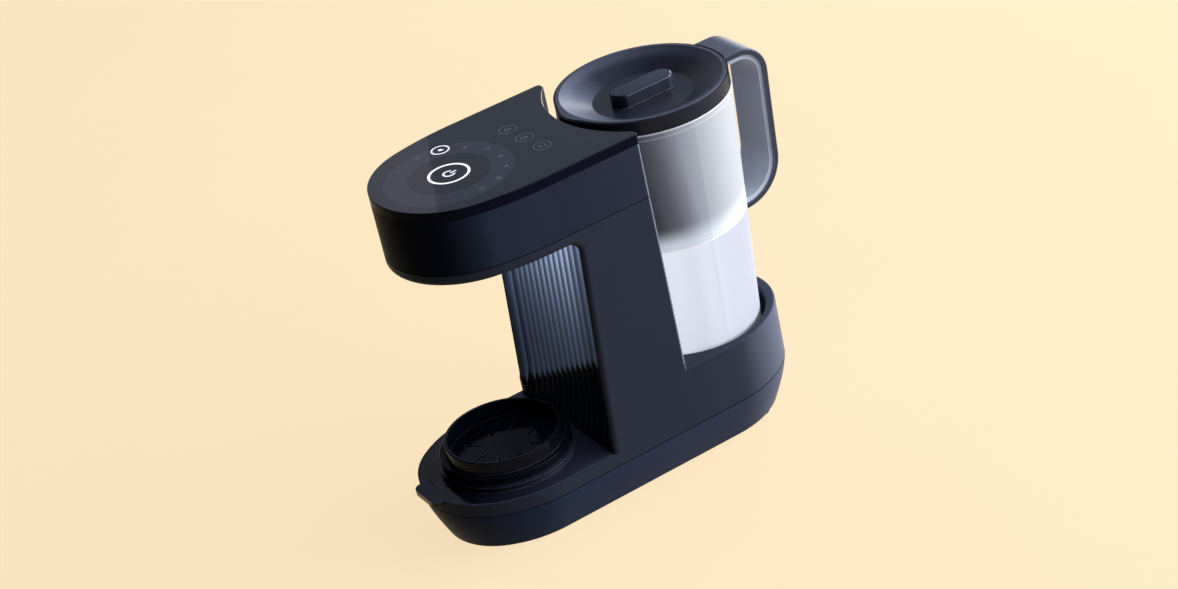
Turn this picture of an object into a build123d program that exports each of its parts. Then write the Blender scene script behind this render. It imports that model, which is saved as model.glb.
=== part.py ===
from build123d import *
from math import acos, atan2, copysign, cos, sin, sqrt, tan
import os

# Counter-top baby formula maker. Millimetres, +Z up, front towards -Y.
# All sizes below are in the machine's own datum: y = 0 is the line where the head's straight
# sides run into its rounded nose, x = 0 the plane of symmetry, z = 0 the table. The finished
# pieces are exported with the origin at the centre of the footprint, on the table.

# ---------------------------------------------------------------- driving dimensions: common
FIT = 0.3                   # between pieces that move or lift apart
SLIP = 0.05                 # radial running clearance, and between seated pieces of one body
LIFT = 1.0                  # cutting tools pass this far beyond the face they cut
WALL = 2.6                  # mouldings
BOARD = 1.6                 # circuit boards
SEAM_BEVEL = 0.5            # small bevel that draws each seam

# ---------------------------------------------------------------- driving dimensions: body
BODY_WIDTH = 160.0          # across the side walls
SIDE_WALL = 4.0             # column side walls, seen edge-on beside the ribbed panel
PAN_BOTTOM_Z = 2.0          # underside of the base pan, on its feet
PAN_HEIGHT = 40.7           # up to the seam with the housing
PAN_INSET = 14.0            # how far the bowl-shaped pan draws in at its bottom
PAN_STEEPEN = 1.3           # power of the height that the side draws in by
DECK_RISE = 12.8            # front deck above that seam
DOCK_FLOOR_RISE = 4.5       # jug dock's floor above the deck
RIM_RISE = 45.2             # dock's rim above the deck
HEAD_BOTTOM_Z = 264.0
HEAD_TRAY = 10.5            # head's lower part, one piece with the column
HEAD_HEIGHT = 50.5          # head housing
PANEL_HEIGHT = 9.3          # control panel's edge band
HEAD_NOSE_REACH = 35.0      # how much further the head's nose reaches than a half circle
BASE_NOSE_START_Y = -47.0   # straight sides of the base end here
BASE_NOSE_REACH = 12.0
BASE_TAIL_LEAD = 9.0        # tail's arcs start this far in front of the jug's axis
BASE_TAIL_REACH = 10.0
HEAD_TIP_STEP = 5.0         # the tip arc is this much tighter than the half width
BASE_TIP_STEP = 6.0
NOTCH_Y = 67.5              # column's rear face at its middle, the bottom of the jug's notch
CHEEK_WIDTH = 8.0           # rear face of each side wall, beside the notch
COLUMN_FRONT_Y = 7.0        # front edge of the side walls at the deck
COLUMN_LEAN = 12.72         # the front edge leans back this much from the deck to the head
COLUMN_CORNER = 10.0        # where the side wall's front edge meets the head
TAIL_BLOCK_OVERLAP = 35.0   # the dock's outer form starts this far inside the column
HEAD_EDGE = 5.0             # rounding under the head and down the side walls' front edges
CHEEK_EDGE = 3.0            # rounding of the rear upright edges
RIM_EDGE = 1.5
TOP_EDGE = 0.8

# ---------------------------------------------------------------- driving dimensions: base fittings
FOOT_RADIUS = 9.0
FOOT_RECESS = 1.5
FRONT_FOOT = (40.0, 45.0)   # in from the side, forward of the nose's start
REAR_FOOT = (33.0, 35.5)    # in from the side, behind the tail's start
SCREW_RADIUS = 1.75
SCREW_HEAD_RADIUS = 3.4
SCREW_HEAD = 2.4
SCREW_HEAD_SINK = 0.6
BOSS_RADIUS = 5.0
BOSS_ROOF = 1.0             # housing left over the end of a screw
FRONT_SCREW = (28.0, 25.0)
MIDDLE_SCREW = (22.0, 10.0) # in from the side, forward of the works' line
REAR_SCREW = (42.0, 57.5)
WEB = 3.0                   # web that ties a side boss to the wall
POWER_BOARD_Y = -57.0
POWER_BOARD_INSET = 36.0    # board's long edges in from the body's sides
POWER_BOARD_DEPTH = 82.0
POWER_BOARD_RISE = 9.4      # over the pan's floor
BOARD_POST_RADIUS = 3.5
BOARD_POST_EDGE = (4.0, 8.0)
TRANSFORMER = (28.0, 26.0, 22.0)
TRANSFORMER_PLACE = (20.0, -18.0)
RELAY = (18.0, 14.0, 14.0)
RELAY_PLACE = (17.0, 14.0)
REGULATOR = (16.0, 14.0, 10.0)
REGULATOR_PLACE = (-16.0, 16.0)
CAPACITOR_RADIUS = 8.0
CAPACITOR_HEIGHT = 24.0
CAPACITOR_PLACE = (-14.0, -17.0)
SINK = (4.0, 44.0, 24.0)
SINK_Y = -5.0
FIN = (6.5, 1.5)
FIN_PITCH = 10.0
FIN_COUNT = 5
INLET_WIDTH = 24.0
INLET_HEIGHT = 13.0
INLET_DEPTH = 20.0
INLET_RISE = 10.4           # over the pan's floor
INLET_LOBE_RADIUS = 4.6
INLET_PIN_RADIUS = 1.2
INLET_PIN_REACH = 9.0
INLET_HALF_PITCH = 4.3

# ---------------------------------------------------------------- driving dimensions: head
PANEL_PLATE = 3.0
TOUCH_BOARD_DROP = 17.3     # board's underside below the panel's top
TOUCH_BOARD_Y = -26.0
TOUCH_BOARD_SIZE = (100.0, 116.0)
TOUCH_BOARD_CORNER = 18.0
PANEL_POST_RADIUS = 3.0
PANEL_POST_EDGE = (6.0, 12.0)
POWER_RING = (2.6, -46.7, 16.2, 18.0)      # centre x, y, inner and outer radius
DOSE_RING = (-43.6, -28.7, 7.0, 8.3)
RING_DEPTH = 2.2
LENS_Y = 8.0
LENS_SIZE = (60.0, 9.0)
LENS_FLANGE = (66.0, 13.0)
LENS_FLANGE_HEIGHT = 2.4
LIGHT_SIZE = 5.0
LIGHT_HEIGHT = 1.2
LIGHT_PITCH = 20.0
SPEAKER_INSET = 36.0        # in from the body's left side
SPEAKER_Y = -20.0
SPEAKER_RADIUS = 14.0
SPEAKER_RIM = 3.0
SPEAKER_MAGNET = 8.0
HEAD_LINE_RISE = 24.0       # hoses' line over the head's underside
NOZZLE_RADIUS = 14.0
NOZZLE_NECK = 11.8
NOZZLE_FLANGE = 16.0
NOZZLE_DROP = 3.0
NOZZLE_TOP = 8.0            # chamber over its spigots' line
NOZZLE_BEVEL = 1.2
OUTLET_DROP = 10.0
OUTLET_STEM = 4.0
OUTLET_STEM_REACH = 8.6     # up into the chamber, from the head's underside
OUTLET_RADIUS = 6.0
OUTLET_BORE = 2.4
OUTLET_BEVEL = 1.5

# ---------------------------------------------------------------- driving dimensions: bottle side
STAND_Y = -56.0             # bottle and nozzle axis
STAND_CUP_RADIUS = 50.5
STAND_LIP = 2.5             # width of the cup's rim
STAND_LIP_FLARE = 1.6       # the rim's outer side widens by this to the flange
STAND_FLANGE = 6.5
STAND_FLANGE_HEIGHT = 8.4
STAND_LIP_HEIGHT = 11.0
STAND_FLOOR_RISE = 3.4      # cup's floor over the tray's ring
STAND_WALL = 2.4
STAND_EDGE = 1.0
SLOT_LENGTH = 18.0
SLOT_WIDTH = 3.0
SLOT_RADIUS = 30.0          # middle of each drain slot from the axis
TRAY_MARGIN = 2.0           # housing rim left round the drip tray
TRAY_DEPTH = 6.0
TRAY_PLATE = 2.5
TRAY_RING = 4.6             # wall of the ring that takes the stand
TRAY_RING_MARGIN = 3.1      # ring beyond the stand's flange
TRAY_RING_RISE = 5.1        # ring over the deck
TAB_WIDTH = 40.0
TAB_REACH = 5.5
TAB_THICKNESS = 5.0
TAB_CORNER = 8.0
TAB_ROOT = 34.5             # how far the tab's plan runs back under the tray
PANEL_RECESS = 10.0         # ribbed panel behind the side walls' front edges
RIB_PITCH = 9.6
RIB_DEPTH = 3.4
RIB_BACKING = 2.4
RIB_SWEEP_RADIUS = 120.0    # the ribs sweep forward at the deck on this radius
RIB_SWEEP_HEIGHT = 37.0
RIB_SWEEP_ANGLE = 34.0      # degrees

# ---------------------------------------------------------------- driving dimensions: jug
JUG_TOP_Z = 321.6           # top edge of the frosted body
JUG_MARGIN = 2.5            # jug's top edge inside the body's side
JUG_TAPER = 14.0            # foot's radius less than the top's
JUG_WALL = 2.6
JUG_FLOOR_RISE = 7.0
DOCK_GAP = 7.5              # dock's wall beyond the jug's foot
NOTCH_GAP = 6.5             # from the jug to the deepest point of the notch in the head
NOTCH_FLATTER = 28.0        # notch radius beyond the half width
COLLAR_STEP = 0.3           # collar inside the jug's outline
COLLAR_HEIGHT = 13.4
COLLAR_WIDTH = 7.0
COLLAR_LIP = 1.5
COLLAR_REBATE = 4.5         # depth of the rebate that the lid lies in
COLLAR_SKIRT = 8.0
COLLAR_SKIRT_GAP = 1.0
SPOUT_REACH = 4.0
SPOUT_RADIUS = 30.0
LID_PROUD = 0.6             # lid over the collar's top
LID_DISH_DEPTH = 12.6
LID_FLOOR_RADIUS = 45.0
LID_RIM_WIDTH = 3.0
LID_THICKNESS = 2.2
LID_SKIRT = 2.4
LID_PLUG_DEPTH = 8.0
LID_PLUG_GAP = 0.7
SEAL_HEIGHT = 3.0
SEAL_DROP = 5.5             # seal's underside below the rebate's floor
SEAL_GROOVE = 1.1
GRIP_LENGTH = 52.0
GRIP_WIDTH = 20.0
GRIP_HEIGHT = 12.4
GRIP_EDGE = 2.0
HANDLE_WIDTH = 48.0
HANDLE_REACH = 39.5         # outer corner at the top, beyond the jug's top edge
HANDLE_ABOVE_COLLAR = 0.5
HANDLE_BACK_LEAN = 8.0      # the back leans in by this much at its lower corner
HANDLE_LOW_Z = 186.0
HANDLE_SHELL = 5.5
HANDLE_LINER = 4.0
HANDLE_LINER_INSET = 1.5    # liner narrower than the shell on each side
HANDLE_TOP_BEND = 27.0
HANDLE_LOW_BEND = 42.0
HANDLE_EDGE = 2.0

# ---------------------------------------------------------------- driving dimensions: jug's valve
SEAT_RADIUS = 11.8
SEAT_CLEAR = 1.5            # seat's underside over the dock's floor
SEAT_HEIGHT = 14.5
SEAT_BORE = 8.5
SEAT_HOLE = 5.0
SEAT_LEDGE = 2.0
SEAT_FLANGE = 4.0
CAP_THICKNESS = 2.0
CAP_HOLE_RADIUS = 1.6
CAP_HOLES_RADIUS = 6.0
STEM_RADIUS = 2.0
STEM_FOOT_RADIUS = 2.4
STEM_TOP = 1.5              # stem's end over the cap's underside
PLUNGER_DISC = 7.5
PLUNGER_THICKNESS = 1.5
VALVE_SEAL = 0.9
VALVE_SEAL_SQUEEZE = 0.3    # gap left under the seal
VALVE_SEAL_EDGE = 0.3
SPRING_RADIUS = 4.4
SPRING_WIRE = 1.0
FILTER_RADIUS = 21.0
FILTER_HEIGHT = 62.0
FILTER_EDGE = 3.0
FILTER_NECK_RADIUS = 8.0
FILTER_NECK = 7.0
FILTER_SOCKET = 8.0         # socket's depth beyond the seat's top
FILTER_PORT = (8.0, 4.0, 6.0)
PROBE_NECK = 8.0
PROBE_FLANGE = 4.0
PROBE_FLANGE_THICKNESS = 3.0
PROBE_PIN = 1.8
PROBE_TOUCH = 0.1           # probe's tip over the seat's underside
PROBE_RIB = 1.6
DOCK_SEAL_LIP = 0.2

# ---------------------------------------------------------------- driving dimensions: works
HOSE_WALL = 1.6
HOSE_BEND = 12.0
SPIGOT_RADIUS = 3.0
SPIGOT_BORE = 1.8
SPIGOT_LENGTH = 10.0
WORKS_GAP = 17.5            # pump, diverter and boiler stand in line, this far from the column's rear
PUMP_BLOCK = (28.0, 26.0, 26.0)
PUMP_EDGE = 2.0
MOUNT_HEIGHT = 6.4
MOUNT_RADIUS = 4.0
MOUNT_SPREAD = (8.0, 7.0)
SADDLE = (10.0, 20.0)       # length and width of the block under the motor
SADDLE_TOP = 5.0            # below the shaft's line
MOTOR_RADIUS = 13.5
MOTOR_LENGTH = 38.0
MOTOR_WALL = 2.0
BUSH_RADIUS = 4.0
BUSH_REACH = 3.0
SHAFT_RADIUS = 1.5
SHAFT_END = 0.5             # shaft's end inside its bush
ARMATURE_GAP = 1.0
ECCENTRIC_ROOM = 7.5
ECCENTRIC_RADIUS = 4.5
ECCENTRIC_OFFSET = 2.0
ECCENTRIC_LENGTH = 10.0
CHAMBER_END = 4.0           # block left at the chamber's ends
LINE_DROP = 4.0             # low water line below the pump's shaft
METER_BACK = 50.0           # flow meter behind the pump
METER_RADIUS = 13.0
METER_HEIGHT = 16.0
METER_WALL = 2.0
METER_AXLE = 1.0
METER_BLADES = 5
METER_BLADE = 1.2
METER_HUB = 3.0
METER_PLAY = 1.0            # round the turbine
DIVERTER_RISE = 25.0        # over the pump
DIVERTER_BLOCK = (26.0, 24.0, 18.0)
COIL_RADIUS = 11.0
COIL_HEIGHT = 26.0
COIL_END = 3.0
CORE_RADIUS = 3.0
CORE_SEAT = 3.0             # core's end over the water line
CORE_TRAVEL = 3.0
CORE_PLAY = 1.0
BOILER_INSET = 42.0         # boiler's axis in from the body's side
BOILER_RISE = 38.0          # over the diverter
BOILER_RADIUS = 17.5
BOILER_HEIGHT = 115.0
BOILER_WALL = 1.5
BOILER_EDGE = 4.0
CLAMP_RISE = (22.0, 83.0)
CLAMP_HEIGHT = 8.0
CLAMP_BAND = 1.2
CLAMP_FOOT = (2.0, 18.0)
THERMOSTAT_RISE = (50.0, 68.0)
THERMOSTAT_RADIUS = 6.0
THERMOSTAT_LENGTH = 8.0

# ---------------------------------------------------------------- derived places
HALF = BODY_WIDTH / 2
BASE_SEAM_Z = PAN_BOTTOM_Z + PAN_HEIGHT
PAN_FLOOR_Z = PAN_BOTTOM_Z + WALL
DECK_Z = BASE_SEAM_Z + DECK_RISE
RIM_Z = DECK_Z + RIM_RISE
DOCK_FLOOR_Z = DECK_Z + DOCK_FLOOR_RISE
HEAD_SEAM_Z = HEAD_BOTTOM_Z + HEAD_TRAY
PANEL_SEAM_Z = HEAD_SEAM_Z + HEAD_HEIGHT
TOP_Z = PANEL_SEAM_Z + PANEL_HEIGHT
TOUCH_BOARD_Z = TOP_Z - TOUCH_BOARD_DROP
HEAD_LINE_Z = HEAD_BOTTOM_Z + HEAD_LINE_RISE
TRAY_WELL_Z = DECK_Z - TRAY_DEPTH
TRAY_RING_Z = DECK_Z + TRAY_RING_RISE
DECK_FLOOR_Z = TRAY_WELL_Z - WALL
STAND_FLANGE_Z = TRAY_RING_Z + STAND_FLANGE_HEIGHT
STAND_LIP_Z = STAND_FLANGE_Z + STAND_LIP_HEIGHT
STAND_FLOOR_Z = TRAY_RING_Z + STAND_FLOOR_RISE
STAND_LIP_RADIUS = STAND_CUP_RADIUS + STAND_LIP
STAND_FLANGE_RADIUS = STAND_LIP_RADIUS + STAND_FLANGE
TRAY_RING_RADIUS = STAND_FLANGE_RADIUS + TRAY_RING_MARGIN
JUG_TOP_RADIUS = HALF - JUG_MARGIN
JUG_FOOT_RADIUS = JUG_TOP_RADIUS - JUG_TAPER
JUG_Y = NOTCH_Y + NOTCH_GAP + JUG_TOP_RADIUS
JUG_FLOOR_Z = DOCK_FLOOR_Z + JUG_FLOOR_RISE
DOCK_RADIUS = JUG_FOOT_RADIUS + DOCK_GAP
NOTCH_RADIUS = HALF + NOTCH_FLATTER
NOTCH_CENTRE_Y = NOTCH_Y + NOTCH_RADIUS
CHEEK_END_Y = NOTCH_CENTRE_Y - sqrt(NOTCH_RADIUS ** 2 - (HALF - CHEEK_WIDTH) ** 2)
COLLAR_RADIUS = JUG_TOP_RADIUS - COLLAR_STEP
COLLAR_TOP_Z = JUG_TOP_Z + COLLAR_HEIGHT
COLLAR_SHELF_Z = COLLAR_TOP_Z - COLLAR_REBATE
COLLAR_THROAT = COLLAR_RADIUS - COLLAR_WIDTH
LID_TOP_Z = COLLAR_TOP_Z + LID_PROUD
LID_FLOOR_Z = LID_TOP_Z - LID_DISH_DEPTH
LID_PLUG_RADIUS = COLLAR_THROAT - LID_PLUG_GAP
SEAL_Z = COLLAR_SHELF_Z - SEAL_DROP
HANDLE_TOP_Z = COLLAR_TOP_Z + HANDLE_ABOVE_COLLAR
HANDLE_BACK_Y = JUG_Y + JUG_TOP_RADIUS + HANDLE_REACH
HANDLE_SLOPE = HANDLE_BACK_LEAN / (HANDLE_TOP_Z - HANDLE_LOW_Z)
HANDLE_LEAN = atan2(HANDLE_SLOPE, 1)
HANDLE_REAR_Y = HANDLE_BACK_Y - HANDLE_TOP_BEND * (tan(HANDLE_LEAN) + 1 / cos(HANDLE_LEAN) - 1)
SEAT_LOW_Z = DOCK_FLOOR_Z + SEAT_CLEAR
SEAT_TOP_Z = SEAT_LOW_Z + SEAT_HEIGHT
SEAT_LEDGE_Z = SEAT_LOW_Z + SEAT_LEDGE
PLUNGER_Z = SEAT_LEDGE_Z + VALVE_SEAL_SQUEEZE + VALVE_SEAL
BASE_TAIL_START_Y = JUG_Y - BASE_TAIL_LEAD
BASE_TIP_Y = BASE_NOSE_START_Y - (HALF + BASE_NOSE_REACH)
TAIL_TIP_Y = BASE_TAIL_START_Y + HALF + BASE_TAIL_REACH
TAIL_BLOCK_START_Y = CHEEK_END_Y - TAIL_BLOCK_OVERLAP
FOOTPRINT_CENTRE_Y = (BASE_TIP_Y - TAB_REACH + HANDLE_REAR_Y) / 2
POWER_BOARD_Z = PAN_FLOOR_Z + POWER_BOARD_RISE
POWER_BOARD_SIZE = (2 * (HALF - POWER_BOARD_INSET), POWER_BOARD_DEPTH)
INLET_LOW_Z = PAN_FLOOR_Z + INLET_RISE
WORKS_Y = NOTCH_Y - WORKS_GAP
PUMP_LOW_Z = PAN_FLOOR_Z + MOUNT_HEIGHT
PUMP_Z = PUMP_LOW_Z + PUMP_BLOCK[2] / 2
PUMP_TOP_Z = PUMP_LOW_Z + PUMP_BLOCK[2]
PUMP_FRONT = PUMP_BLOCK[0] / 2
LINE_Z = PUMP_Z - LINE_DROP
METER_Y = WORKS_Y + METER_BACK
METER_LOW_Z = LINE_Z - METER_HEIGHT / 2
DIVERTER_Z = PUMP_TOP_Z + DIVERTER_RISE
DIVERTER_LINE_Z = DIVERTER_Z + DIVERTER_BLOCK[2] / 2
DIVERTER_TOP_Z = DIVERTER_Z + DIVERTER_BLOCK[2]
BOILER_X = HALF - BOILER_INSET
BOILER_Z = DIVERTER_Z + BOILER_RISE
BOILER_TOP_Z = BOILER_Z + BOILER_HEIGHT


def both_sides(*places):
    """Mirror places given for the right-hand side."""
    return [(side * x, y) for side in (-1, 1) for x, y in places]


def around(size, edge, y):
    """Four places in from the edges of a rectangle that is centred on x = 0."""
    x, depth = size[0] / 2 - edge[0], size[1] / 2 - edge[1]
    return both_sides((x, y - depth), (x, y + depth))


BASE_SCREWS = both_sides((HALF - FRONT_SCREW[0], BASE_NOSE_START_Y - FRONT_SCREW[1]),
                         (HALF - MIDDLE_SCREW[0], WORKS_Y - MIDDLE_SCREW[1]),
                         (HALF - REAR_SCREW[0], BASE_TAIL_START_Y + REAR_SCREW[1]))
FEET = both_sides((HALF - FRONT_FOOT[0], BASE_NOSE_START_Y - FRONT_FOOT[1]),
                  (HALF - REAR_FOOT[0], BASE_TAIL_START_Y + REAR_FOOT[1]))
BOARD_POSTS = around(POWER_BOARD_SIZE, BOARD_POST_EDGE, POWER_BOARD_Y)
PANEL_POSTS = around(TOUCH_BOARD_SIZE, PANEL_POST_EDGE, TOUCH_BOARD_Y)

pieces = {}

# ---------------------------------------------------------------- outlines
def round_end(reach, tip_step, start_y, sign, inset):
    """Three tangent arcs that close one end of the body, drawn in by an inset."""
    depth = HALF + reach
    tip = HALF - tip_step
    side = ((HALF - depth) ** 2 + 2 * depth * tip_step) / (2 * tip_step)
    turn = atan2(depth - tip, side - HALF)

    def on_side(angle):
        return (HALF - side + (side - inset) * cos(angle), (side - inset) * sin(angle))

    def place(point, mirror=1):
        return (mirror * point[0], start_y + sign * point[1])

    start, middle, join = on_side(0), on_side(turn / 2), on_side(turn)
    return [
        ThreePointArc(place(start), place(middle), place(join)),
        ThreePointArc(place(join), place((0, depth - inset)), place(join, -1)),
        ThreePointArc(place(join, -1), place(middle, -1), place(start, -1)),
    ]


def base_outline(inset=0.0):
    """Plan of the base: rounded nose, straight sides, rounded tail."""
    x = HALF - inset
    edges = round_end(BASE_NOSE_REACH, BASE_TIP_STEP, BASE_NOSE_START_Y, -1, inset)
    edges += round_end(BASE_TAIL_REACH, BASE_TIP_STEP, BASE_TAIL_START_Y, 1, inset)
    edges += [Line((side * x, BASE_NOSE_START_Y), (side * x, BASE_TAIL_START_Y)) for side in (-1, 1)]
    return make_face(edges)


def head_outline(inset=0.0):
    """Plan of the head: rounded nose, straight sides, two cheeks and the notch for the jug."""
    x = HALF - inset
    end_y = CHEEK_END_Y - inset
    notch = NOTCH_RADIUS + inset
    cheek = sqrt(notch ** 2 - (NOTCH_CENTRE_Y - end_y) ** 2)
    edges = round_end(HEAD_NOSE_REACH, HEAD_TIP_STEP, 0.0, -1, inset)
    for side in (-1, 1):
        edges.append(Line((side * x, 0), (side * x, end_y)))
        edges.append(Line((side * x, end_y), (side * cheek, end_y)))
    edges.append(ThreePointArc((-cheek, end_y), (0, NOTCH_CENTRE_Y - notch), (cheek, end_y)))
    return make_face(edges)


def slab(outline, low, high):
    return extrude(Pos(0, 0, low) * outline, high - low)


def tube(outer, inner, low, high, x=0.0, y=0.0):
    return Pos(x, y, low) * extrude(Circle(outer) - Circle(inner), high - low)


def rod(radius, low, high, x=0.0, y=0.0):
    return Pos(x, y, low) * extrude(Circle(radius), high - low)


def block(x, y, z):
    """Box from three (low, high) pairs."""
    spans = [high - low for low, high in (x, y, z)]
    middle = [(high + low) / 2 for low, high in (x, y, z)]
    return Pos(*middle) * Box(*spans)


def bar(radius, start, end):
    """Round bar between two points."""
    line = Line(start, end)
    return sweep(Plane(origin=line @ 0, z_dir=line % 0) * Circle(radius), path=line)


def spigot(start, end):
    return bar(SPIGOT_RADIUS, start, end)


def column_front(z, recess=0.0):
    """Y of the side wall's leaning front edge, or of a line behind it."""
    return COLUMN_FRONT_Y + recess + COLUMN_LEAN * (z - DECK_Z) / (HEAD_BOTTOM_Z - DECK_Z)

# ---------------------------------------------------------------- base
def pan_form(inset=0.0, floor=PAN_BOTTOM_Z):
    """Bowl between the pan's bottom and the seam; the side steepens as it rises."""
    sections = []
    for share in (0, 0.35, 0.7, 1.0):
        z = floor + (BASE_SEAM_Z - floor) * share
        drop = (BASE_SEAM_Z - z) / PAN_HEIGHT
        sections.append(Pos(0, 0, z) * base_outline(inset + PAN_INSET * drop ** PAN_STEEPEN))
    return loft(sections)


def base_pan():
    pan = pan_form() - pan_form(WALL, PAN_FLOOR_Z)
    for x, y in BASE_SCREWS:
        pan += rod(BOSS_RADIUS, PAN_FLOOR_Z - SLIP, BASE_SEAM_Z, x, y)
        pan -= rod(SCREW_RADIUS + SLIP, PAN_BOTTOM_Z - LIFT, BASE_SEAM_Z + LIFT, x, y)
        pan -= rod(SCREW_HEAD_RADIUS + FIT, PAN_BOTTOM_Z - LIFT, PAN_BOTTOM_Z + SCREW_HEAD, x, y)
    for x, y in BOARD_POSTS:
        pan += rod(BOARD_POST_RADIUS, PAN_FLOOR_Z - SLIP, POWER_BOARD_Z, x, y)
    for x, y in FEET:
        pan -= rod(FOOT_RADIUS + SLIP, PAN_BOTTOM_Z - LIFT, PAN_BOTTOM_Z + FOOT_RECESS, x, y)
    pan += rod(METER_RADIUS - METER_WALL, PAN_FLOOR_Z - SLIP, METER_LOW_Z, 0, METER_Y)
    return pan - inlet_form(SLIP)


def rubber_feet():
    return [rod(FOOT_RADIUS, 0, PAN_BOTTOM_Z + FOOT_RECESS, x, y) for x, y in FEET]


def base_screws():
    seat = PAN_BOTTOM_Z + SCREW_HEAD
    solids = []
    for x, y in BASE_SCREWS:
        head = rod(SCREW_HEAD_RADIUS, PAN_BOTTOM_Z + SCREW_HEAD_SINK, seat, x, y)
        solids.append(head + rod(SCREW_RADIUS, seat - SLIP, DECK_FLOOR_Z - BOSS_ROOF, x, y))
    return solids


def inlet_form(clearance=0.0):
    half = INLET_WIDTH / 2 + clearance
    low = INLET_LOW_Z - clearance
    high = INLET_LOW_Z + INLET_HEIGHT + clearance
    return block((-half, half), (TAIL_TIP_Y - PAN_INSET - INLET_DEPTH, TAIL_TIP_Y + LIFT), (low, high))


def mains_inlet():
    """Two-pin appliance inlet, trimmed flush with the curved tail."""
    body = inlet_form() & pan_form()
    middle = INLET_LOW_Z + INLET_HEIGHT / 2
    floor_y = TAIL_TIP_Y - PAN_INSET - INLET_DEPTH / 2
    pins = []
    for x in (-INLET_HALF_PITCH, INLET_HALF_PITCH):
        body -= bar(INLET_LOBE_RADIUS, (x, floor_y, middle), (x, floor_y + 2 * INLET_DEPTH, middle))
        start, tip = (x, floor_y - LIFT, middle), (x, floor_y + INLET_PIN_REACH, middle)
        pins.append(bar(INLET_PIN_RADIUS, start, tip))
    return body + pins

# ---------------------------------------------------------------- housing
def side_profile():
    """Side view of the column, with the corner where its leaning front meets the head."""
    low = DECK_Z - WALL
    corner = (column_front(HEAD_BOTTOM_Z), HEAD_BOTTOM_Z)
    forward = corner[0] - 2 * COLUMN_CORNER
    points = [
        (column_front(low), low),
        corner,
        (forward, HEAD_BOTTOM_Z),
        (forward, HEAD_SEAM_Z),
        (CHEEK_END_Y + LIFT, HEAD_SEAM_Z),
        (CHEEK_END_Y + LIFT, low),
    ]
    face = make_face(Plane.YZ * Polyline(*points, close=True))
    return fillet(face.vertices().sort_by_distance((0,) + corner)[0], COLUMN_CORNER)


def on_front_edge(edge):
    """Whether an edge runs round under the head or down a side wall's front."""
    middle = edge.center()
    across = edge.geom_type == GeomType.LINE and abs(middle.X) < HALF / 2
    under = abs(middle.Z - HEAD_BOTTOM_Z) < 0.01
    down = abs(abs(middle.X) - HALF) < 0.01 and middle.Z < HEAD_BOTTOM_Z and middle.Y < CHEEK_END_Y / 2
    low = middle.Z < DECK_Z - WALL + 0.01
    return (under or down) and not across and not low


def upper_block():
    """Column and shallow head tray as one form, its front edges rounded in one run."""
    column = extrude(side_profile(), HALF, both=True) & slab(head_plan(), DECK_Z - WALL, HEAD_SEAM_Z)
    front = head_plan() & Pos(0, -BODY_WIDTH / 2) * Rectangle(2 * BODY_WIDTH, BODY_WIDTH)
    upper = column + slab(front, HEAD_BOTTOM_Z, HEAD_SEAM_Z)
    upper = fillet([e for e in upper.edges() if on_front_edge(e)], HEAD_EDGE)
    return chamfer(upper.faces().sort_by(Axis.Z)[-1].edges(), SEAM_BEVEL)


def tail_block():
    """Dock's outer form: the tail of the base carried up to the rim."""
    tail = slab(base_outline() & behind(TAIL_BLOCK_START_Y), DECK_Z - WALL, RIM_Z)
    top = tail.faces().sort_by(Axis.Z)[-1]
    return fillet([e for e in top.edges() if e.center().Y > CHEEK_END_Y], RIM_EDGE)


def behind(y):
    """Half plane, as a large sheet, that keeps what lies behind a line across the body."""
    return Pos(0, y + BODY_WIDTH) * Rectangle(2 * BODY_WIDTH, 2 * BODY_WIDTH)


def before(y):
    """Half plane that keeps what lies in front of a line across the body."""
    return Pos(0, y - BODY_WIDTH) * Rectangle(2 * BODY_WIDTH, 2 * BODY_WIDTH)


def tray_plan(inset):
    """Plan of the drip tray, which ends at the ribbed panel, drawn in from the base's outline."""
    return base_outline(TRAY_MARGIN + inset) & before(COLUMN_FRONT_Y - inset)


def tab_plan(clearance=0.0):
    """Plan of the finger tab at the tip of the deck."""
    width, depth = TAB_WIDTH + 2 * clearance, TAB_ROOT + TAB_REACH + clearance
    return Pos(0, BASE_TIP_Y + TAB_ROOT - depth / 2) * Rectangle(width, depth)


def main_housing():
    base = slab(base_outline(), BASE_SEAM_Z, DECK_Z)
    base = chamfer(base.faces().sort_by(Axis.Z)[0].edges(), SEAM_BEVEL)
    body = base + tail_block() + upper_block()
    body = hollowed(body)
    # well that takes the drip tray and its finger tab
    body -= slab(tray_plan(0), TRAY_WELL_Z, DECK_Z + LIFT)
    body -= slab(tab_plan(FIT), DECK_Z - TAB_THICKNESS - FIT, DECK_Z + LIFT)
    for x, y in BASE_SCREWS:
        roof = DOCK_FLOOR_Z - WALL if y > JUG_Y else DECK_FLOOR_Z
        body += rod(BOSS_RADIUS, BASE_SEAM_Z, roof + SLIP, x, y)
        if COLUMN_FRONT_Y < y < CHEEK_END_Y:
            web = sorted((x, copysign(HALF - WALL + SLIP, x)))
            body += block(web, (y - WEB / 2, y + WEB / 2), (BASE_SEAM_Z, roof))
        body -= rod(SCREW_RADIUS + SLIP, BASE_SEAM_Z - LIFT, DECK_FLOOR_Z - BOSS_ROOF + FIT, x, y)
    body -= rod(NOZZLE_NECK + SLIP, HEAD_BOTTOM_Z - LIFT, HEAD_BOTTOM_Z + WALL + LIFT, 0, STAND_Y)
    body -= rod(PROBE_NECK + SLIP, DOCK_FLOOR_Z - WALL - LIFT, DOCK_FLOOR_Z + LIFT, 0, JUG_Y)
    return body - lens_form(SLIP, LIFT)


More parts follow.
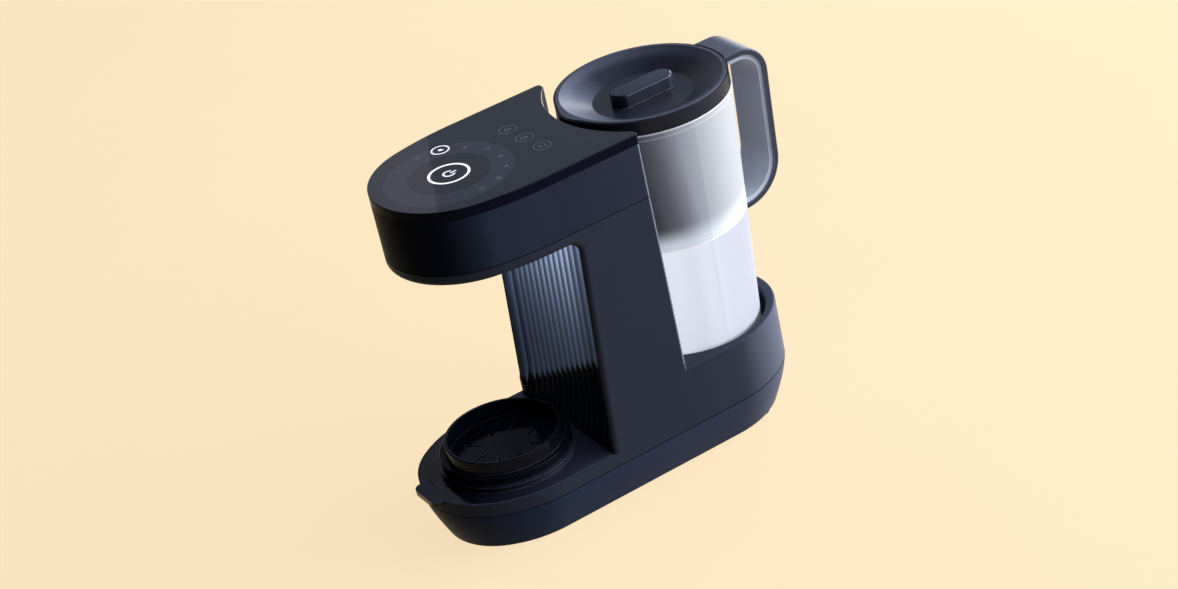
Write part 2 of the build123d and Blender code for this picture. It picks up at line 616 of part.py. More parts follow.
def hollowed(body):
    """Room for the works in base, column and head, the jug's dock and the panel's window."""
    low, high = BASE_SEAM_Z - LIFT, HEAD_SEAM_Z + LIFT
    inner_x = HALF - SIDE_WALL
    column_plan = head_outline(WALL) & behind(COLUMN_FRONT_Y) & Rectangle(2 * inner_x, 4 * BODY_WIDTH)
    tail_plan = base_outline(WALL) & behind(TAIL_BLOCK_START_Y)
    body -= slab(base_outline(WALL), low, DECK_FLOOR_Z)
    body -= slab(tail_plan, low, DOCK_FLOOR_Z - WALL)
    for room in (tail_plan - Pos(0, JUG_Y) * Circle(DOCK_RADIUS + WALL)).faces():
        if room.center().Y > JUG_Y - DOCK_RADIUS:
            body -= slab(room, low, RIM_Z - WALL)
    body -= slab(column_plan, low, HEAD_BOTTOM_Z)
    body -= slab(head_outline(WALL), HEAD_BOTTOM_Z + WALL, high)
    # hoses pass up into the head behind the ribbed panel
    panel_back = column_front(HEAD_BOTTOM_Z, PANEL_RECESS) + RIB_BACKING
    body -= slab(column_plan & behind(panel_back + WALL), HEAD_BOTTOM_Z - LIFT, high)
    body -= rod(DOCK_RADIUS, DOCK_FLOOR_Z, RIM_Z + LIFT, 0, JUG_Y)
    body -= Pos(0, JUG_Y, RIM_Z - RIM_EDGE / 2) * Cone(DOCK_RADIUS, DOCK_RADIUS + RIM_EDGE, RIM_EDGE)
    window_y = (column_front(HEAD_BOTTOM_Z) - 4 * COLUMN_CORNER, panel_back)
    return body - block((-inner_x, inner_x), window_y, (DECK_Z, HEAD_BOTTOM_Z))

# ---------------------------------------------------------------- head
def head_plan():
    plan = head_outline()
    uprights = [v for v in plan.vertices() if v.Y > CHEEK_END_Y - LIFT]
    return fillet(uprights, CHEEK_EDGE)


def head_housing():
    shell = slab(head_plan(), HEAD_SEAM_Z, PANEL_SEAM_Z)
    shell = chamfer(shell.faces().sort_by(Axis.Z)[0].edges(), SEAM_BEVEL)
    return shell - slab(head_outline(WALL), HEAD_SEAM_Z - LIFT, PANEL_SEAM_Z + LIFT)


def control_panel():
    """Dark glass top with its edge band, one moulding; grooves take the light guides."""
    cap = slab(head_plan(), PANEL_SEAM_Z, TOP_Z)
    cap = fillet(cap.faces().sort_by(Axis.Z)[-1].edges(), TOP_EDGE)
    cap = chamfer(cap.faces().sort_by(Axis.Z)[0].edges(), SEAM_BEVEL)
    cap -= slab(head_outline(WALL), PANEL_SEAM_Z - LIFT, TOP_Z - PANEL_PLATE)
    for x, y in PANEL_POSTS:
        cap += rod(PANEL_POST_RADIUS, TOUCH_BOARD_Z + BOARD, TOP_Z - PANEL_PLATE + SLIP, x, y)
    for x, y, inner, outer in (POWER_RING, DOSE_RING):
        cap -= tube(outer + SLIP, inner - SLIP, TOP_Z - RING_DEPTH, TOP_Z + LIFT, x, y)
    return cap


def light_guide(x, y, inner, outer):
    return tube(outer, inner, TOP_Z - RING_DEPTH, TOP_Z, x, y)


def touch_board():
    plan = Rectangle(*TOUCH_BOARD_SIZE)
    plan = fillet(plan.vertices(), TOUCH_BOARD_CORNER)
    return slab(Pos(0, TOUCH_BOARD_Y) * plan, TOUCH_BOARD_Z, TOUCH_BOARD_Z + BOARD)


def board_screws():
    low = TOUCH_BOARD_Z - SCREW_HEAD + SCREW_HEAD_SINK
    return [rod(PANEL_POST_RADIUS - FIT, low, TOUCH_BOARD_Z, x, y) for x, y in PANEL_POSTS]


def lens_form(clearance=0.0, beyond=0.0):
    """Light strip's window in the head's underside."""
    width, depth = (size + 2 * clearance for size in LENS_SIZE)
    window = slab(Rectangle(width, depth), HEAD_BOTTOM_Z - beyond, HEAD_BOTTOM_Z + WALL + beyond)
    return Pos(0, LENS_Y) * window


def night_light_lens():
    low = HEAD_BOTTOM_Z + WALL
    return lens_form() + Pos(0, LENS_Y) * slab(Rectangle(*LENS_FLANGE), low, low + LENS_FLANGE_HEIGHT)


def night_light_board():
    low = HEAD_BOTTOM_Z + WALL + LENS_FLANGE_HEIGHT
    board = slab(Rectangle(*LENS_FLANGE), low, low + BOARD)
    for place in (-LIGHT_PITCH, 0, LIGHT_PITCH):
        board += Pos(place, 0, low + BOARD + LIGHT_HEIGHT / 2) * Box(LIGHT_SIZE, LIGHT_SIZE, LIGHT_HEIGHT)
    return Pos(0, LENS_Y) * board


def speaker():
    low = HEAD_BOTTOM_Z + WALL
    cone = rod(SPEAKER_RADIUS, low, low + SPEAKER_RIM) + rod(SPEAKER_MAGNET, low, low + SPEAKER_MAGNET)
    cone -= rod(SPEAKER_RADIUS - WALL, low - LIFT, low + SPEAKER_RIM / 2)
    return Pos(SPEAKER_INSET - HALF, SPEAKER_Y) * cone


def nozzle_body():
    """Mixing chamber inside the head, with a hot and a cold spigot."""
    body = rod(NOZZLE_RADIUS, HEAD_BOTTOM_Z + WALL, HEAD_LINE_Z + NOZZLE_TOP, 0, STAND_Y)
    body += rod(NOZZLE_NECK, HEAD_BOTTOM_Z, HEAD_BOTTOM_Z + WALL, 0, STAND_Y)
    reach = NOZZLE_RADIUS + SPIGOT_LENGTH
    body += spigot((-reach, STAND_Y, HEAD_LINE_Z), (reach, STAND_Y, HEAD_LINE_Z))
    body -= bar(SPIGOT_BORE, (-reach - LIFT, STAND_Y, HEAD_LINE_Z), (reach + LIFT, STAND_Y, HEAD_LINE_Z))
    return body - rod(OUTLET_STEM + SLIP, HEAD_BOTTOM_Z - LIFT, HEAD_LINE_Z, 0, STAND_Y)


def nozzle_ring():
    """Trim under the head that clamps the nozzle."""
    ring = tube(NOZZLE_FLANGE, OUTLET_STEM + SLIP, HEAD_BOTTOM_Z - NOZZLE_DROP, HEAD_BOTTOM_Z, 0, STAND_Y)
    rims = ring.faces().sort_by(Axis.Z)[0].edges().sort_by(SortBy.LENGTH)
    return chamfer(rims[-1], NOZZLE_BEVEL)


def nozzle_outlet():
    """Soft outlet, pushed up into the chamber."""
    low = HEAD_BOTTOM_Z - NOZZLE_DROP
    tip = rod(OUTLET_RADIUS, low - OUTLET_DROP, low, 0, STAND_Y)
    tip = chamfer(tip.faces().sort_by(Axis.Z)[0].edges(), OUTLET_BEVEL)
    tip += rod(OUTLET_STEM, low - LIFT, HEAD_BOTTOM_Z + OUTLET_STEM_REACH, 0, STAND_Y)
    return tip - rod(OUTLET_BORE, low - OUTLET_DROP - LIFT, HEAD_LINE_Z, 0, STAND_Y)

# ---------------------------------------------------------------- ribbed panel, tray and stand
def ribbed_panel():
    """Fluted wall behind the bottle: flutes run down and sweep forward to the deck."""
    half = HALF - SIDE_WALL - SLIP
    top_z = HEAD_BOTTOM_Z - SLIP
    bend_z = DECK_Z + RIB_SWEEP_HEIGHT
    straight = Line((column_front(top_z, PANEL_RECESS), top_z), (column_front(bend_z, PANEL_RECESS), bend_z))
    path = Plane.YZ * (straight + JernArc(straight @ 1, straight % 1, RIB_SWEEP_RADIUS, -RIB_SWEEP_ANGLE))
    count = int(2 * half / RIB_PITCH)
    left = -count * RIB_PITCH / 2
    points = [(-half, -RIB_BACKING), (-half, 0)]
    for rib in range(count):
        points += [(left + rib * RIB_PITCH, 0), (left + (rib + 0.5) * RIB_PITCH, RIB_DEPTH)]
    points += [(-left, 0), (half, 0), (half, -RIB_BACKING)]
    start = Plane(origin=path @ 0, x_dir=(1, 0, 0), z_dir=path % 0)
    section = make_face(start * Polyline(*points, close=True))
    keep = block((-HALF, HALF), (COLUMN_FRONT_Y, CHEEK_END_Y), (TRAY_WELL_Z, HEAD_BOTTOM_Z))
    return sweep(section, path=path) & keep


def drip_tray():
    """Glossy deck: rim flush with the housing, raised ring for the stand, finger tab in front."""
    tray = slab(tray_plan(FIT), TRAY_WELL_Z, DECK_Z)
    tray -= slab(tray_plan(FIT + WALL), TRAY_WELL_Z - LIFT, DECK_Z - TRAY_PLATE)
    tab = tab_plan()
    tab = fillet(tab.vertices().group_by(Axis.Y)[0], TAB_CORNER)
    tray += slab(tab, DECK_Z - TAB_THICKNESS, DECK_Z)
    tray += rod(TRAY_RING_RADIUS, TRAY_WELL_Z, TRAY_RING_Z, 0, STAND_Y)
    inner = TRAY_RING_RADIUS - TRAY_RING
    return tray - rod(inner, TRAY_WELL_Z + TRAY_PLATE, TRAY_RING_Z + LIFT, 0, STAND_Y)


def bottle_stand():
    """Round cup that keeps the bottle under the nozzle; slots let spills through."""
    skirt = TRAY_RING_RADIUS - TRAY_RING - FIT
    low = TRAY_WELL_Z + TRAY_PLATE
    step = TRAY_RING_Z + FIT
    lip_foot = STAND_LIP_RADIUS + STAND_LIP_FLARE
    points = [
        (skirt - STAND_WALL, low),
        (skirt, low),
        (skirt, step),
        (STAND_FLANGE_RADIUS, step),
        (STAND_FLANGE_RADIUS, STAND_FLANGE_Z),
        (lip_foot, STAND_FLANGE_Z),
        (STAND_LIP_RADIUS, STAND_LIP_Z),
        (STAND_CUP_RADIUS, STAND_LIP_Z),
        (STAND_CUP_RADIUS, STAND_FLOOR_Z),
        (0, STAND_FLOOR_Z),
        (0, STAND_FLOOR_Z - STAND_WALL),
        (skirt - STAND_WALL, STAND_FLOOR_Z - STAND_WALL),
    ]
    cup = revolve(make_face(Plane.XZ * Polyline(*points, close=True)), Axis.Z)
    rims = cup.edges().filter_by(GeomType.CIRCLE)
    rims = [e for e in rims if (round(e.radius, 3), round(e.center().Z, 3)) in (
        (round(STAND_LIP_RADIUS, 3), round(STAND_LIP_Z, 3)),
        (round(STAND_FLANGE_RADIUS, 3), round(STAND_FLANGE_Z, 3)))]
    cup = fillet(rims, STAND_EDGE)
    for turn in range(8):
        slot = Pos(SLOT_RADIUS, 0, STAND_FLOOR_Z) * Box(SLOT_LENGTH, SLOT_WIDTH, 4 * STAND_WALL)
        cup -= Rot(Z=turn * 45) * slot
    return Pos(0, STAND_Y) * cup

# ---------------------------------------------------------------- jug
def jug_radius(z):
    """Outer radius of the tapered jug at a height."""
    share = (z - DOCK_FLOOR_Z) / (JUG_TOP_Z - DOCK_FLOOR_Z)
    return JUG_FOOT_RADIUS + (JUG_TOP_RADIUS - JUG_FOOT_RADIUS) * share


def jug_body():
    """Tapered frosted wall, floor set up from the foot, hole for the valve."""
    foot = jug_radius(DOCK_FLOOR_Z)
    points = [
        (0, JUG_FLOOR_Z - JUG_WALL),
        (jug_radius(JUG_FLOOR_Z) - 2 * JUG_WALL, JUG_FLOOR_Z - JUG_WALL),
        (foot - JUG_WALL, DOCK_FLOOR_Z),
        (foot, DOCK_FLOOR_Z),
        (JUG_TOP_RADIUS, JUG_TOP_Z),
        (JUG_TOP_RADIUS - JUG_WALL, JUG_TOP_Z),
        (jug_radius(JUG_FLOOR_Z) - JUG_WALL, JUG_FLOOR_Z),
        (0, JUG_FLOOR_Z),
    ]
    wall = revolve(make_face(Plane.XZ * Polyline(*points, close=True)), Axis.Z)
    wall -= rod(SEAT_RADIUS + SLIP, DOCK_FLOOR_Z, JUG_FLOOR_Z + LIFT)
    return Pos(0, JUG_Y) * wall


def spout_plan(radius):
    """Circle drawn out to a small pouring nose towards the head."""
    nose_y = radius + SPOUT_REACH - SPOUT_RADIUS
    turn = acos((radius - SPOUT_RADIUS) / nose_y)
    ring = (radius * sin(turn), -radius * cos(turn))
    nose = (SPOUT_RADIUS * sin(turn), -nose_y - SPOUT_RADIUS * cos(turn))
    edges = [ThreePointArc(ring, (0, radius), (-ring[0], ring[1]))]
    edges.append(ThreePointArc(nose, (0, -radius - SPOUT_REACH), (-nose[0], nose[1])))
    edges += [Line((side * ring[0], ring[1]), (side * nose[0], nose[1])) for side in (-1, 1)]
    return make_face(edges)


def jug_collar():
    """Dark ring on the jug's top edge: rebate for the lid, throat, skirt inside the jug."""
    skirt = JUG_TOP_RADIUS - JUG_WALL - SLIP - COLLAR_SKIRT_GAP
    ring = slab(spout_plan(COLLAR_RADIUS), JUG_TOP_Z, COLLAR_TOP_Z)
    ring -= slab(spout_plan(COLLAR_RADIUS - COLLAR_LIP), COLLAR_SHELF_Z, COLLAR_TOP_Z + LIFT)
    ring += rod(skirt, JUG_TOP_Z - COLLAR_SKIRT, JUG_TOP_Z + SLIP)
    ring -= rod(COLLAR_THROAT, JUG_TOP_Z - COLLAR_SKIRT - LIFT, COLLAR_TOP_Z + LIFT)
    return Pos(0, JUG_Y) * ring


def handle_path():
    """Side view of the handle's outer line: top arm, leaning back, lower arm."""
    start_y = JUG_Y + JUG_FOOT_RADIUS / 2
    return [
        (start_y, HANDLE_TOP_Z),
        (HANDLE_BACK_Y, HANDLE_TOP_Z),
        (HANDLE_BACK_Y - HANDLE_BACK_LEAN, HANDLE_LOW_Z),
        (start_y, HANDLE_LOW_Z),
    ]


def handle_band(depth, inner, width):
    """Strap of the handle between two depths in from its outer line."""
    def region(inset):
        points = handle_path()
        moved = [
            (points[0][0], points[0][1] - inset),
            (points[1][0] - inset - inset * HANDLE_SLOPE, points[1][1] - inset),
            (points[2][0] - inset + inset * HANDLE_SLOPE, points[2][1] + inset),
            (points[3][0], points[3][1] + inset),
        ]
        face = make_face(Plane.YZ * Polyline(*moved, close=True))
        top_corner = face.vertices().sort_by_distance((0,) + moved[1])[0]
        face = fillet(top_corner, HANDLE_TOP_BEND - inset)
        low_corner = face.vertices().sort_by_distance((0,) + moved[2])[0]
        return fillet(low_corner, HANDLE_LOW_BEND - inset)

    strap = region(depth) - region(inner)
    return extrude(strap, width / 2, both=True)


def handle_cutter():
    """Space of the jug and collar that the handle's arms butt against."""
    low = DOCK_FLOOR_Z
    jug = Pos(0, JUG_Y, (low + JUG_TOP_Z) / 2) * Cone(
        JUG_FOOT_RADIUS + SLIP, JUG_TOP_RADIUS + SLIP, JUG_TOP_Z - low)
    return jug + rod(JUG_TOP_RADIUS + SLIP, JUG_TOP_Z - SLIP, LID_TOP_Z + LIFT, 0, JUG_Y)


def jug_handle():
    strap = handle_band(0, HANDLE_SHELL, HANDLE_WIDTH)
    rims = [e for e in strap.edges() if abs(abs(e.center().X) - HANDLE_WIDTH / 2) < SLIP and on_outer_line(e)]
    return fillet(rims, HANDLE_EDGE) - handle_cutter()


def on_outer_line(edge):
    """Whether an edge of the handle's side lies on its outer line."""
    middle = edge.center()
    back = HANDLE_BACK_Y - HANDLE_SLOPE * (HANDLE_TOP_Z - middle.Z)
    near = HANDLE_SHELL / 2
    flat = middle.Z > HANDLE_TOP_Z - near or middle.Z < HANDLE_LOW_Z + near
    bend = edge.geom_type == GeomType.CIRCLE and edge.radius > HANDLE_TOP_BEND - near
    low_inner = edge.geom_type == GeomType.CIRCLE and abs(edge.radius - HANDLE_LOW_BEND + HANDLE_SHELL) < SLIP
    return (flat or middle.Y > back - near or bend) and not low_inner


def jug_handle_liner():
    width = HANDLE_WIDTH - 2 * HANDLE_LINER_INSET
    return handle_band(HANDLE_SHELL + SLIP, HANDLE_SHELL + HANDLE_LINER, width) - handle_cutter()


def valve_seat():
    """Screwed into the jug's floor; flange inside, bore with the sealing ledge at its foot."""
    seat = rod(SEAT_RADIUS, SEAT_LOW_Z, SEAT_TOP_Z)
    seat += rod(SEAT_RADIUS + SEAT_FLANGE, JUG_FLOOR_Z, JUG_FLOOR_Z + SEAT_LEDGE)
    seat -= rod(SEAT_BORE, SEAT_LEDGE_Z, SEAT_TOP_Z + LIFT)
    return Pos(0, JUG_Y) * (seat - rod(SEAT_HOLE, SEAT_LOW_Z - LIFT, SEAT_TOP_Z))


def valve_cap():
    """Perforated disc that holds the spring and guides the stem."""
    high = SEAT_TOP_Z + CAP_THICKNESS
    cap = tube(SEAT_RADIUS, STEM_RADIUS + SLIP, SEAT_TOP_Z, high)
    for turn in range(6):
        cap -= Rot(Z=turn * 60) * rod(CAP_HOLE_RADIUS, SEAT_TOP_Z - LIFT, high + LIFT, CAP_HOLES_RADIUS)
    return Pos(0, JUG_Y) * cap


def valve_plunger():
    stem = rod(STEM_RADIUS, PLUNGER_Z, SEAT_TOP_Z + STEM_TOP)
    stem += rod(STEM_FOOT_RADIUS, SEAT_LOW_Z + FIT + PROBE_TOUCH, PLUNGER_Z)
    return Pos(0, JUG_Y) * (stem + rod(PLUNGER_DISC, PLUNGER_Z, PLUNGER_Z + PLUNGER_THICKNESS))


def valve_seal():
    inner = SEAT_HOLE + VALVE_SEAL_EDGE
    return tube(PLUNGER_DISC - VALVE_SEAL_EDGE, inner, PLUNGER_Z - VALVE_SEAL, PLUNGER_Z, 0, JUG_Y)


def valve_spring():
    low = PLUNGER_Z + PLUNGER_THICKNESS
    return tube(SPRING_RADIUS, SPRING_RADIUS - SPRING_WIRE, low, SEAT_TOP_Z, 0, JUG_Y)


def filter_cartridge():
    """Cartridge standing over the valve; a socket locates it on the seat."""
    low = JUG_FLOOR_Z + SEAT_LEDGE
    top = low + FILTER_HEIGHT
    body = rod(FILTER_RADIUS, low, top)
    body = fillet(body.faces().sort_by(Axis.Z)[-1].edges(), FILTER_EDGE)
    body += rod(FILTER_NECK_RADIUS, top - LIFT, top + FILTER_NECK)
    body -= rod(SEAT_RADIUS + FIT, low - LIFT, SEAT_TOP_Z + FILTER_SOCKET)
    for turn in range(8):
        body -= Rot(Z=turn * 45) * Pos(FILTER_RADIUS, 0, low + FILTER_PORT[2] / 2) * Box(*FILTER_PORT)
    return Pos(0, JUG_Y) * body


def dock_probe():
    """Post in the dock's floor that opens the jug's valve; barb below takes the inlet hose."""
    floor = DOCK_FLOOR_Z
    flange_z = floor - WALL - PROBE_FLANGE_THICKNESS
    body = rod(PROBE_NECK, floor - WALL, floor) + rod(PROBE_NECK + PROBE_FLANGE, flange_z, floor - WALL)
    body += rod(SPIGOT_RADIUS, flange_z - 2 * SPIGOT_LENGTH, flange_z)
    body -= rod(SEAT_HOLE, floor - WALL, floor + LIFT)
    body -= rod(SPIGOT_BORE, flange_z - 2 * SPIGOT_LENGTH - LIFT, floor)
    rib = block((-PROBE_NECK, PROBE_NECK), (-PROBE_RIB / 2, PROBE_RIB / 2), (floor - WALL, floor))
    return Pos(0, JUG_Y) * (body + rib + rod(PROBE_PIN, floor - FIT, SEAT_LOW_Z + PROBE_TOUCH))


def dock_seal():
    inner = PROBE_NECK + DOCK_SEAL_LIP
    return tube(SEAT_RADIUS - DOCK_SEAL_LIP, inner, DOCK_FLOOR_Z, SEAT_LOW_Z - FIT, 0, JUG_Y)

# ---------------------------------------------------------------- lid
def lid_dish():
    """Dished lid: flat rim, slope, flat floor; plug skirt with a groove for the seal."""
    outer = COLLAR_RADIUS - COLLAR_LIP - FIT
    slope_top = outer - LID_RIM_WIDTH
    plug = LID_PLUG_RADIUS
    rim_low = COLLAR_SHELF_Z + FIT
    slope = LID_DISH_DEPTH / (slope_top - LID_FLOOR_RADIUS)
    points = [
        (0, LID_FLOOR_Z),
        (LID_FLOOR_RADIUS, LID_FLOOR_Z),
        (plug, LID_TOP_Z - (slope_top - plug) * slope),
        (plug, rim_low - LID_PLUG_DEPTH),
        (plug - LID_SKIRT, rim_low - LID_PLUG_DEPTH),
        (plug - LID_SKIRT, rim_low - LIFT),
        (LID_FLOOR_RADIUS + LIFT, LID_FLOOR_Z - LID_THICKNESS),
        (0, LID_FLOOR_Z - LID_THICKNESS),
    ]
    dish = revolve(make_face(Plane.XZ * Polyline(*points, close=True)), Axis.Z)
    rim = slab(spout_plan(outer), rim_low, LID_TOP_Z) - rod(plug - SLIP, rim_low - LIFT, rim_low + LIFT)
    rim -= Pos(0, 0, (LID_TOP_Z + LID_FLOOR_Z) / 2) * Cone(LID_FLOOR_RADIUS, slope_top, LID_DISH_DEPTH)
    groove = tube(plug + LIFT, plug - SEAL_GROOVE - SLIP, SEAL_Z - SLIP, SEAL_Z + SEAL_HEIGHT + SLIP)
    return Pos(0, JUG_Y) * (dish + rim - groove)


def lid_seal():
    return tube(COLLAR_THROAT - FIT, LID_PLUG_RADIUS - SEAL_GROOVE, SEAL_Z, SEAL_Z + SEAL_HEIGHT, 0, JUG_Y)


def lid_grip():
    """Raised bar to lift the lid by."""
    grip = slab(SlotOverall(GRIP_LENGTH, GRIP_WIDTH, rotation=90), LID_FLOOR_Z, LID_FLOOR_Z + GRIP_HEIGHT)
    return Pos(0, JUG_Y) * fillet(grip.faces().sort_by(Axis.Z)[-1].edges(), GRIP_EDGE)

# ---------------------------------------------------------------- works
def hose(*points):
    """Silicone hose on a bent centre line, square at both ends."""
    path = FilletPolyline(*points, radius=HOSE_BEND) if len(points) > 2 else Line(*points)
    bore = SPIGOT_RADIUS + SLIP
    section = Plane(origin=path @ 0, z_dir=path % 0) * (Circle(bore + HOSE_WALL) - Circle(bore))
    return sweep(section, path=path)


def shaft_bar(radius, low_x, high_x, z=PUMP_Z):
    """Round bar along the pump's shaft."""
    return bar(radius, (low_x, WORKS_Y, z), (high_x, WORKS_Y, z))


def pump_head():
    """Diaphragm block: chamber for the eccentric, inlet behind, outlet on top."""
    body = Pos(0, WORKS_Y, PUMP_Z) * Box(*PUMP_BLOCK)
    body = fillet(body.edges().filter_by(Axis.X), PUMP_EDGE)
    back = WORKS_Y + PUMP_BLOCK[1] / 2
    tip_y, tip_z = back + SPIGOT_LENGTH, PUMP_TOP_Z + SPIGOT_LENGTH
    body += spigot((0, back - LIFT, LINE_Z), (0, tip_y, LINE_Z))
    body += spigot((0, WORKS_Y, PUMP_TOP_Z - LIFT), (0, WORKS_Y, tip_z))
    body -= bar(SPIGOT_BORE, (0, back - CHAMBER_END, LINE_Z), (0, tip_y + LIFT, LINE_Z))
    body -= rod(SPIGOT_BORE, PUMP_TOP_Z - CHAMBER_END, tip_z + LIFT, 0, WORKS_Y)
    body -= shaft_bar(ECCENTRIC_ROOM, -PUMP_FRONT - LIFT, PUMP_FRONT - CHAMBER_END)
    return body - shaft_bar(SHAFT_RADIUS + SLIP, 0, PUMP_FRONT - LIFT)


def pump_motor():
    """Motor can with a bush at its far end."""
    near, far = -PUMP_FRONT, -PUMP_FRONT - MOTOR_LENGTH
    can = shaft_bar(MOTOR_RADIUS - SLIP, far, near)
    can -= shaft_bar(MOTOR_RADIUS - MOTOR_WALL, far + MOTOR_WALL, near - MOTOR_WALL)
    can += shaft_bar(BUSH_RADIUS, far - BUSH_REACH, far + 2 * MOTOR_WALL)
    return can - shaft_bar(SHAFT_RADIUS + SLIP, far - BUSH_REACH - LIFT, near + LIFT)


def pump_rotor():
    """Armature, shaft and eccentric in one turning piece."""
    near, far = -PUMP_FRONT, -PUMP_FRONT - MOTOR_LENGTH
    shaft = shaft_bar(SHAFT_RADIUS, far - BUSH_REACH + SHAFT_END, PUMP_FRONT - 2 * LIFT)
    core = MOTOR_RADIUS - MOTOR_WALL - ARMATURE_GAP
    armature = shaft_bar(core, far + 3 * MOTOR_WALL, near - 2 * MOTOR_WALL)
    lobe = shaft_bar(ECCENTRIC_RADIUS, near + CHAMBER_END, near + CHAMBER_END + ECCENTRIC_LENGTH,
                     PUMP_Z + ECCENTRIC_OFFSET)
    return shaft + armature + lobe


def pump_mounts():
    """Rubber blocks under the pump and its motor."""
    spread_x, spread_y = MOUNT_SPREAD
    places = [(x, WORKS_Y + y) for x in (-spread_x, spread_x) for y in (-spread_y, spread_y)]
    solids = [rod(MOUNT_RADIUS, PAN_FLOOR_Z, PUMP_LOW_Z, x, y) for x, y in places]
    far = -PUMP_FRONT - MOTOR_LENGTH
    length, width = SADDLE
    saddle = block((far + CHAMBER_END, far + CHAMBER_END + length),
                   (WORKS_Y - width / 2, WORKS_Y + width / 2),
                   (PAN_FLOOR_Z, PUMP_Z - SADDLE_TOP))
    solids.append(saddle - shaft_bar(MOTOR_RADIUS, far, far + 2 * length))
    return solids


def flow_meter():
    """Cup with two ports and the axle of its turbine."""
    low, high = METER_LOW_Z, METER_LOW_Z + METER_HEIGHT
    reach = METER_RADIUS + SPIGOT_LENGTH
    body = rod(METER_RADIUS, low, high) + spigot((0, -reach, LINE_Z), (0, reach, LINE_Z))
    body -= rod(METER_RADIUS - METER_WALL, low + METER_WALL, high + LIFT)
    body -= bar(SPIGOT_BORE, (0, -reach - LIFT, LINE_Z), (0, reach + LIFT, LINE_Z))
    return Pos(0, METER_Y) * (body + rod(METER_AXLE, low + LIFT, high - METER_PLAY))


def flow_meter_cap():
    high = METER_LOW_Z + METER_HEIGHT
    cap = rod(METER_RADIUS, high, high + METER_WALL)
    cap += rod(METER_RADIUS - METER_WALL - SLIP, high - METER_PLAY, high)
    return Pos(0, METER_Y) * (cap - rod(METER_AXLE + SLIP, high - METER_WALL, high + LIFT))


def flow_rotor():
    """Bladed turbine on the meter's axle."""
    low = METER_LOW_Z + METER_WALL + METER_PLAY
    high = METER_LOW_Z + METER_HEIGHT - METER_PLAY - METER_BLADE
    tip = METER_RADIUS - METER_WALL - METER_PLAY
    rotor = rod(METER_HUB, low, high)
    for turn in range(METER_BLADES):
        blade = block((METER_HUB - LIFT, tip), (-METER_BLADE / 2, METER_BLADE / 2), (low, high))
        rotor += Rot(Z=turn * 360 / METER_BLADES) * blade
    return Pos(0, METER_Y) * (rotor - rod(METER_AXLE + SLIP, low - LIFT, high + LIFT))


def diverter_block():
    """Diverter over the pump: port below, hot port to one side, cold port to the other."""
    width, depth, height = DIVERTER_BLOCK
    body = Pos(0, WORKS_Y, DIVERTER_LINE_Z) * Box(width, depth, height)
    body = fillet(body.edges().filter_by(Axis.Z), PUMP_EDGE)
    reach = width / 2 + SPIGOT_LENGTH
    body += spigot((-reach, WORKS_Y, DIVERTER_LINE_Z), (reach, WORKS_Y, DIVERTER_LINE_Z))
    body += rod(SPIGOT_RADIUS, DIVERTER_Z - SPIGOT_LENGTH, DIVERTER_Z + LIFT, 0, WORKS_Y)
    bore = reach + LIFT
    body -= bar(SPIGOT_BORE, (-bore, WORKS_Y, DIVERTER_LINE_Z), (bore, WORKS_Y, DIVERTER_LINE_Z))
    body -= rod(SPIGOT_BORE, DIVERTER_Z - SPIGOT_LENGTH - LIFT, DIVERTER_LINE_Z, 0, WORKS_Y)
    return body - rod(CORE_RADIUS + SLIP, DIVERTER_LINE_Z + CORE_SEAT, DIVERTER_TOP_Z + LIFT, 0, WORKS_Y)


def diverter_coil():
    coil = rod(COIL_RADIUS, DIVERTER_TOP_Z, DIVERTER_TOP_Z + COIL_HEIGHT, 0, WORKS_Y)
    return coil - rod(CORE_RADIUS + SLIP, DIVERTER_TOP_Z - LIFT, core_room_top(), 0, WORKS_Y)


def core_room_top():
    return DIVERTER_TOP_Z + COIL_HEIGHT - COIL_END


def diverter_core():
    """Sliding core; it lifts to send water to the boiler."""
    low, high = DIVERTER_LINE_Z + CORE_SEAT + FIT, core_room_top() - CORE_TRAVEL - CORE_PLAY
    return rod(CORE_RADIUS, low, high, 0, WORKS_Y)


def boiler():
    """Flow-through boiler: plain can with rounded ends and a spigot at each."""
    can = fillet(rod(BOILER_RADIUS, BOILER_Z, BOILER_TOP_Z).edges().filter_by(GeomType.CIRCLE), BOILER_EDGE)
    can -= rod(BOILER_RADIUS - BOILER_WALL, BOILER_Z + BOILER_EDGE, BOILER_TOP_Z - BOILER_EDGE)
    can += rod(SPIGOT_RADIUS, BOILER_Z - SPIGOT_LENGTH, BOILER_Z + LIFT)
    can += rod(SPIGOT_RADIUS, BOILER_TOP_Z - LIFT, BOILER_TOP_Z + SPIGOT_LENGTH)
    bore = rod(SPIGOT_BORE, BOILER_Z - SPIGOT_LENGTH - LIFT, BOILER_TOP_Z + SPIGOT_LENGTH + LIFT)
    return Pos(BOILER_X, WORKS_Y) * (can - bore)


def boiler_clamps():
    """Two straps with a foot on the side wall."""
    wall_x = HALF - SIDE_WALL
    foot, spread = CLAMP_FOOT
    solids = []
    for low in (BOILER_Z + rise for rise in CLAMP_RISE):
        high = low + CLAMP_HEIGHT
        strap = tube(BOILER_RADIUS + CLAMP_BAND, BOILER_RADIUS + SLIP, low, high, BOILER_X, WORKS_Y)
        band_x = BOILER_X + BOILER_RADIUS + CLAMP_BAND / 2
        strap += block((band_x, wall_x), (WORKS_Y - foot / 2, WORKS_Y + foot / 2), (low, high))
        strap += block((wall_x - foot, wall_x), (WORKS_Y - spread / 2, WORKS_Y + spread / 2), (low, high))
        solids.append(strap)
    return solids


